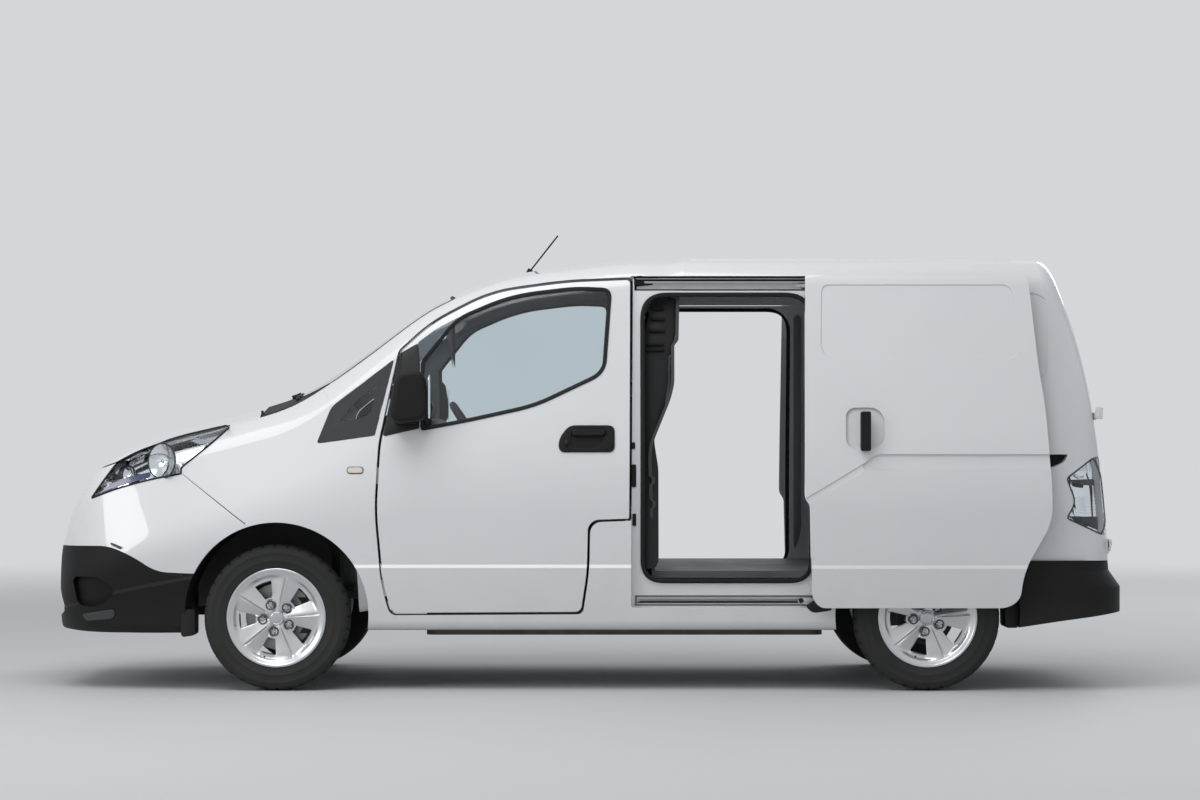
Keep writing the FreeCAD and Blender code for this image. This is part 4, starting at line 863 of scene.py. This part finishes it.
# Threshold mats.
# Ribbed rubber over the step in each side doorway, with long ridges that run fore and aft.
MAT_LINE = ((286, 468, 30), (868, 468, 30), (868, 498, 6), (286, 498, 6))
RIDGE_HEIGHTS = (471, 478, 485, 492)
for side, _ in SIDES:
    mat = slab(eased(MAT_LINE, 0.02), side, 0.700, 0.004)
    fit(mat, "threshold_mat_" + side, rubber_seal)
    for number, height in enumerate(RIDGE_HEIGHTS):
        ridge = slab(eased(((300, height, 1), (300, height + 3, 1), (854, height + 3, 1), (854, height, 1)),
                           0.03), side,
                     0.703, 0.004, 0.001)
        fit(ridge, "threshold_ridge_%d_%s" % (number, side), sail_plastic)

# Rear door-post trims.
# A pressed post of painted steel stands behind each doorway and shows through the far opening. It is
# coloured dark grey for the shade inside the van: painted shade.
POST_LINE = ((948, 520, 60), (984, 620, 60), (984, 1640, 20), (948, 1640, 20))
post_painted_shade = finish("painted_shade_post", (0.20, 0.205, 0.21), (0.15, 0.155, 0.16), 4, (0.35, 0.5), 600, 0.00004)
for side, _ in SIDES:
    post = slab(eased(POST_LINE, 0.03), side, 0.650, 0.004)
    fit(post, "inner_post_" + side, post_painted_shade)

# Door cards and headlining.
# Moulded grey panels line the inner side of the front doors, and a pale felt lining covers the cab's
# ceiling.
card_look = finish("door_card", (0.20, 0.225, 0.245), (0.15, 0.17, 0.185), 5, (0.6, 0.8), 800, 0.0003)
lining_look = finish("headlining", (0.30, 0.31, 0.32), (0.24, 0.25, 0.26), 12, (0.85, 1.0), 1500, 0.0004,
                     Sheen_Weight=0.3)
for side, way in SIDES:
    card = outer_faces("front_door_" + side, lambda centre, normal: normal.y * way < -0.45)
    thickened(card, Vector((0, -way, 0)), 0.004, 0)
    fit(card, "door_card_" + side, card_look, "front_door_" + side)
lining = outer_faces("roof", lambda centre, normal: normal.z < -0.35 and centre.x < 0.30)
thickened(lining, Vector((0, 0, -1)), 0.004, 0)
fit(lining, "headlining", lining_look)
for side, way in SIDES:
    def on_pillar(centre, normal, way=way):
        return normal.y * way < -0.3 and centre.x < 0.25 and centre.z > 1.05 and centre.x > -1.2

    pillar = outer_faces("body_side_" + side, on_pillar)
    thickened(pillar, Vector((0, -way, 0)), 0.003, 0)
    fit(pillar, "pillar_lining_" + side, lining_look)


# Mirror glasses.
# Silvered glass set back in each mirror's shell, facing the driver, with a thin black rim.
MIRROR_LINE = ((836, 1142, 40), (990, 1136, 40), (984, 1318, 34), (850, 1324, 50))
mirror_glass = finish("mirror_glass", (0.80, 0.82, 0.84), (0.74, 0.76, 0.78), 2, (0.01, 0.03), 600,
                      0.0000005,
                      Metallic=1.0)
for side, way in SIDES:
    line = eased(tuple((way * y, z, back) for y, z, back in MIRROR_LINE), 0.008)
    glass_plate = plate(line, "behind", skin("mirror_" + side), 0.0015, 0)
    fit(glass_plate, "mirror_glass_" + side, mirror_glass, "front_door_" + side)

# Side repeaters.
# A small pale oval lens is clipped into each front wing, in a thin black rim.
REPEATER_LINE = ((-1014, 908, 16), (-1014, 938, 16), (-944, 938, 16), (-944, 908, 16))
repeater_look = finish("repeater_lens", (0.72, 0.66, 0.58), (0.60, 0.52, 0.42), 40, (0.05, 0.12), 260,
                       0.0002,
                       Coat_Weight=1.0)
for side, _ in SIDES:
    wing = skin("front_wings", "body_side_" + side)
    line = eased(REPEATER_LINE, 0.004)
    lens = plate(inset(line, 0.003), side, wing, 0.005, 0.002)
    fit(lens, "repeater_" + side, repeater_look)
    rim = band(line, inset(line, 0.003), side, wing, 0.002, 0)
    fit(rim, "repeater_rim_" + side, rubber_seal)

# Front bumper mouldings.
# A rolled edge runs along the top of the black bumper, and a shallow pad stands out below each lamp
# recess. Both are coloured paler than the bumper, as painted highlight where they face the light.
BUMPER_EDGE = ((-2012, 622, 4), (-1940, 594, 30), (-1812, 506, 40), (-1704, 486, 4), (-1704, 478, 4),
               (-1812, 497, 40),
               (-1942, 584, 30), (-2012, 612, 4))
FOG_PAD = ((-2140, 318, 12), (-1992, 342, 20), (-1996, 300, 30), (-2120, 288, 14))
# Paler copy of the black plastic: painted highlight on the bumper's top edge and on the pads.
bumper_highlight_look = finish("bumper_edge_highlight", (0.050, 0.050, 0.052), (0.036, 0.036, 0.038), 6, (0.4, 0.6), 1600, 0.0002)
bumper = skin("front_bumper")
for side, _ in SIDES:
    edge_strip = plate(eased(BUMPER_EDGE, 0.012), side, bumper, 0.0012, 0)
    fit(edge_strip, "bumper_edge_highlight_" + side, bumper_highlight_look)
    pad = plate(eased(FOG_PAD, 0.01), side, bumper, 0.006, 0.003)
    fit(pad, "bumper_pad_" + side, bumper_highlight_look)

# Inner wheel-arch guards.
# Pressed black plastic closes the arch between each tyre and the bumper, and a flap hangs behind the tyre.
GUARDS = (("front_guard", ((-1716, 340, 10), (-1712, 222, 14), (-1652, 232, 10), (-1652, 340, 4)), 0.70,
           0.12),
          ("rear_guard", ((1742, 262, 14), (1736, 500, 4), (1800, 500, 4), (1800, 262, 10)), 0.66, 0.16))
for side, _ in SIDES:
    for name, outline, depth, thick in GUARDS:
        guard = slab(eased(outline, 0.012), side, depth, thick, 0.004)
        fit(guard, name + "_" + side, trim)

# Wipers.
# Two black painted arms lie along the foot of the windscreen, each with a rubber blade clipped to it.
WIPERS = (((-1246, -560), (-1268, -20), (-1284, -330)), ((-1262, 60), (-1196, 560), (-1284, 250)))
BLADE_HALF, ARM_HALF = 7, 9
wiper_look = finish("wiper_metal", (0.014, 0.014, 0.015), (0.009, 0.009, 0.010), 9, (0.4, 0.55), 900,
                    0.0001)


def straight(start, end, half):
    """Outline of a narrow bar between two places in millimetres."""
    start, end = Vector(start), Vector(end)
    along = (end - start).normalized()
    out = Vector((-along.y, along.x)) * half
    return tuple((*corner, 3) for corner in (start + out, end + out, end - out, start - out))


glass_skin = skin("windscreen", "scuttle")
for number, (near, far, pivot) in enumerate(WIPERS):
    blade = plate(eased(straight(near, far, BLADE_HALF), 0.02), "above", glass_skin, 0.010, 0.002)
    fit(blade, "wiper_blade_%d" % number, rubber_seal)
    middle = (Vector(near) + Vector(far)) / 2
    arm = plate(eased(straight(pivot, middle, ARM_HALF), 0.01), "above", glass_skin, 0.016, 0.003)
    fit(arm, "wiper_arm_%d" % number, wiper_look)

# Rear door fittings.
# Painted hinges on the corner of each door, a black pull handle, a high brake lamp and a bare plate in its
# frame.
HINGES = (((2128, 1138, 6), (2128, 1188, 6), (2158, 1188, 6), (2158, 1138, 6)),
          ((2168, 573, 6), (2168, 634, 6), (2188, 634, 6), (2188, 573, 6)))
REAR_HANDLE = ((30, 1010, 14), (220, 1010, 14), (220, 1072, 14), (30, 1072, 14))
HANDLE_GRIP = ((48, 1026, 10), (202, 1026, 10), (202, 1050, 10), (48, 1050, 10))
REAR_PLATE = ((-640, 780, 8), (-120, 780, 8), (-120, 892, 8), (-640, 892, 8))
FRONT_PLATE = ((-260, 486, 8), (260, 486, 8), (260, 598, 8), (-260, 598, 8))
PLATES = (("rear", REAR_PLATE, "behind", "rear_door_left", "rear_door_left"),
          ("front", FRONT_PLATE, "ahead", "front_fascia", "body"))
HIGH_LAMP = ((-150, 1792, 8), (150, 1792, 8), (146, 1814, 8), (-146, 1814, 8))
plate_look = finish("bare_plate", (0.62, 0.62, 0.60), (0.56, 0.56, 0.54), 5, (0.25, 0.4), 500, 0.00004)
red_lens = finish("high_lamp_lens", (0.32, 0.010, 0.012), (0.20, 0.006, 0.008), 20, (0.08, 0.16), 160,
                  0.0003,
                  Coat_Weight=1.0)
for side, _ in SIDES:
    door = "rear_door_" + side
    for number, outline in enumerate(HINGES):
        hinge = plate(eased(outline, 0.005), side, skin(door, "body_side_" + side), 0.008, 0.002)
        fit(hinge, "rear_hinge_%d_%s" % (number, side), paint)
rear_skin = skin("rear_door_right")
handle = plate(eased(REAR_HANDLE, 0.01), "behind", rear_skin, 0.010, 0.003)
fit(handle, "rear_handle", trim, "rear_door_right")
grip = plate(eased(HANDLE_GRIP, 0.008), "behind", rear_skin, 0.026, 0.006)
fit(grip, "rear_handle_grip", sail_plastic, "rear_door_right")
for name, outline, view, carrier, body in PLATES:
    line = eased(outline, 0.02)
    carrier_skin = skin(carrier)
    frame_plate = plate(line, view, carrier_skin, 0.004, 0.001, drape=False)
    fit(frame_plate, name + "_plate_frame", trim, body)
    bare = plate(inset(line, 0.007), view, carrier_skin, 0.0055, 0.0008, drape=False)
    fit(bare, name + "_plate", plate_look, body)
lamp_piece = plate(eased(HIGH_LAMP, 0.01), "behind", skin("roof", "body_side_left", "body_side_right"),
                   0.006, 0.002)
fit(lamp_piece, "high_brake_lamp", red_lens)


# Seats.
# Foam cushions in black-grey woven cloth on a moulded plinth, with headrests on steel posts. Each pad is
# swollen by air pressure in a cloth simulation, then its sewn channels are drawn in.
SEAT_MIDDLES = (("left", -0.37), ("right", 0.37))
PADS = (("cushion", ((-452, 566, 30), (134, 566, 24), (134, 684, 40), (-396, 722, 60), (-452, 686, 40)),
         0.242, 0.010),
        ("back",
         ((68, 700, 24), (144, 700, 24), (224, 1030, 80), (244, 1249, 40), (156, 1249, 40),
          (102, 1000, 80)),
         0.227, 0.010),
        ("headrest", ((175, 1291, 24), (251, 1291, 24), (255, 1433, 36), (192, 1433, 40)), 0.113, 0.008))
PAD_VOXEL = 0.009
PRESSURE, PRESSURE_STEPS = 4, 20
THREAD_SCALE, THREAD_DISTORTION = 190, 1.5
PLINTH_HALF = 0.19
POST_PLACES, POST_X, POST_FOOT = (-0.06, 0.06), 0.212, 1.232
SEAMS = (-0.145, 0.145)
SEAM_DEPTH, SEAM_HALF = 0.007, 0.008
PLINTH = ((-420, 402, 10), (120, 402, 10), (104, 556, 30), (-400, 556, 30))
POST_PROFILE = ((0.3, 0), (7, 0), (7, 74), (5, 76), (0.3, 76))
cloth_look = finish("seat_cloth", (0.060, 0.063, 0.070), (0.034, 0.036, 0.041), 60, (0.8, 1.0), 1500,
                    0.0004,
                    Sheen_Weight=0.5, Sheen_Roughness=0.4)
weave = cloth_look.node_tree
threads = added(weave, "TexWave", Scale=THREAD_SCALE, Distortion=THREAD_DISTORTION)
woven = added(weave, "Math", {"operation": "MULTIPLY"})
wired(weave, (weave.nodes["Texture Coordinate"], "Object", threads, "Vector"), (threads, "Fac", woven, 0),
      (weave.nodes["Grain"], "Fac", woven, 1), (woven, "Value", weave.nodes["Bump"], "Height"))
plinth_look = finish("plinth_plastic", (0.030, 0.031, 0.033), (0.020, 0.021, 0.022), 6, (0.5, 0.7), 1100,
                     0.0002)
post_steel = finish("post_steel", (0.60, 0.60, 0.61), (0.50, 0.50, 0.51), 20, (0.16, 0.26), 400, 0.00002,
                    Metallic=1.0)


def across_van(line, low, high, soft=0.0):
    """Solid with an outline seen from the side, between two places across the van."""
    sheet = ring([(u, low, v) for u, v in line], "NGON")
    thickened(sheet, Vector((0, 1, 0)), high - low, soft)
    return sheet


def stuffed(pad, most):
    """Swell a pad by air pressure in its cover, moving no point further than a set length."""
    shaped(pad, "REMESH", mode="VOXEL", voxel_size=PAD_VOXEL)
    held = [vertex.co.copy() for vertex in pad.data.vertices]
    cover = pad.modifiers.new("cover", "CLOTH")
    cover.settings.use_pressure = True
    cover.settings.uniform_pressure_force = PRESSURE
    cover.settings.effector_weights.gravity = 0
    for step in range(1, PRESSURE_STEPS + 1):
        bpy.context.scene.frame_set(step)
    bpy.ops.object.modifier_apply(modifier=cover.name)
    for vertex, start in zip(pad.data.vertices, held):
        moved = vertex.co - start
        if moved.length > most:
            vertex.co = start + moved.normalized() * most
    bpy.context.scene.frame_set(1)
    shaped(pad, "SMOOTH", factor=0.5, iterations=4)
    shaped(pad, "SUBSURF", levels=1, render_levels=1)


def sewn(pad, middle):
    """Draw the cover in along its two lengthwise seams."""
    outward = [vertex.normal.copy() for vertex in pad.data.vertices]
    for vertex, normal in zip(pad.data.vertices, outward):
        apart = min(abs(vertex.co.y - middle - seam) for seam in SEAMS) / SEAM_HALF
        if apart < 3 and abs(normal.y) < 0.6:
            vertex.co -= normal * SEAM_DEPTH * math.exp(-apart * apart)


seat_pieces = []
for side, middle in SEAT_MIDDLES:
    for name, outline, half, most in PADS:
        pad = across_van(eased(outline, 0.02), middle - half, middle + half)
        stuffed(pad, most)
        if name != "headrest":
            sewn(pad, middle)
        fit(pad, "seat_%s_%s" % (name, side), cloth_look)
        bpy.ops.object.shade_smooth()
        seat_pieces.append(pad)
    plinth = across_van(eased(PLINTH, 0.02), middle - PLINTH_HALF, middle + PLINTH_HALF, 0.008)
    seat_pieces.append(fit(plinth, "seat_plinth_" + side, plinth_look))
    for number, apart in enumerate(POST_PLACES):
        post = lathe(POST_PROFILE, 24)
        post.data.transform(Matrix.Rotation(-math.pi / 2, 4, "X"))
        lowest = min(vertex.co.z for vertex in post.data.vertices)
        post.data.transform(Matrix.Translation((POST_X, middle + apart, POST_FOOT - lowest)))
        seat_pieces.append(fit(post, "seat_post_%d_%s" % (number, side), post_steel))
for piece in seat_pieces:
    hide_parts("seats")

# Cab plastics.
# Dashboard and lower trim in soft dark grey moulding with a leather-like grain.
CAB_LIGHT = (0.060, 0.062, 0.066)
CAB_DARK = (0.036, 0.037, 0.040)
cab_plastic = finish("cab_plastic", CAB_LIGHT, CAB_DARK, 5, (0.5, 0.7), 900, 0.0003)
wear(cab_plastic, "dashboard", "steering_wheel")

# Load floor and bulkhead.
# Pressed steel sheets in satin grey-black primer, scuffed by cargo along the floor.
FLOOR_LIGHT = (0.115, 0.118, 0.122)
FLOOR_DARK = (0.055, 0.057, 0.060)
load_floor = finish("load_floor", FLOOR_LIGHT, FLOOR_DARK, 7, (0.35, 0.65), 260, 0.0002)
wear(load_floor, "floor_pan")
bulkhead_look = finish("bulkhead_primer", (0.050, 0.051, 0.054), (0.028, 0.029, 0.031), 4, (0.32, 0.5), 500,
                       0.0001)
wear(bulkhead_look, "bulkhead")

# Slide rails and underbody steel.
# Zinc-plated roll-formed rail, and chassis parts in black wax with a film of road dirt.
rail_steel = finish("rail_steel", (0.50, 0.50, 0.51), (0.36, 0.36, 0.37), 14, (0.28, 0.5), 420, 0.00008,
                    Metallic=1.0)
wear(rail_steel, "slide_rails")
underbody = dusted(finish("underbody_wax", (0.045, 0.044, 0.043), (0.018, 0.018, 0.018), 9, (0.45, 0.8),
                          150,
                          0.0006), DUST, (0.5, 0.1), 0.5)
wear(underbody, "front_suspension", "knuckle_left", "knuckle_right", "rear_axle", "leaf_springs",
     "motor_unit",
     "battery_pack")

cast_disc = finish("brake_iron", (0.42, 0.41, 0.40), (0.25, 0.24, 0.23), 30, (0.25, 0.45), 300, 0.0001,
                   Metallic=1.0)
wear(cast_disc, "brake_disc_fl", "brake_disc_fr")
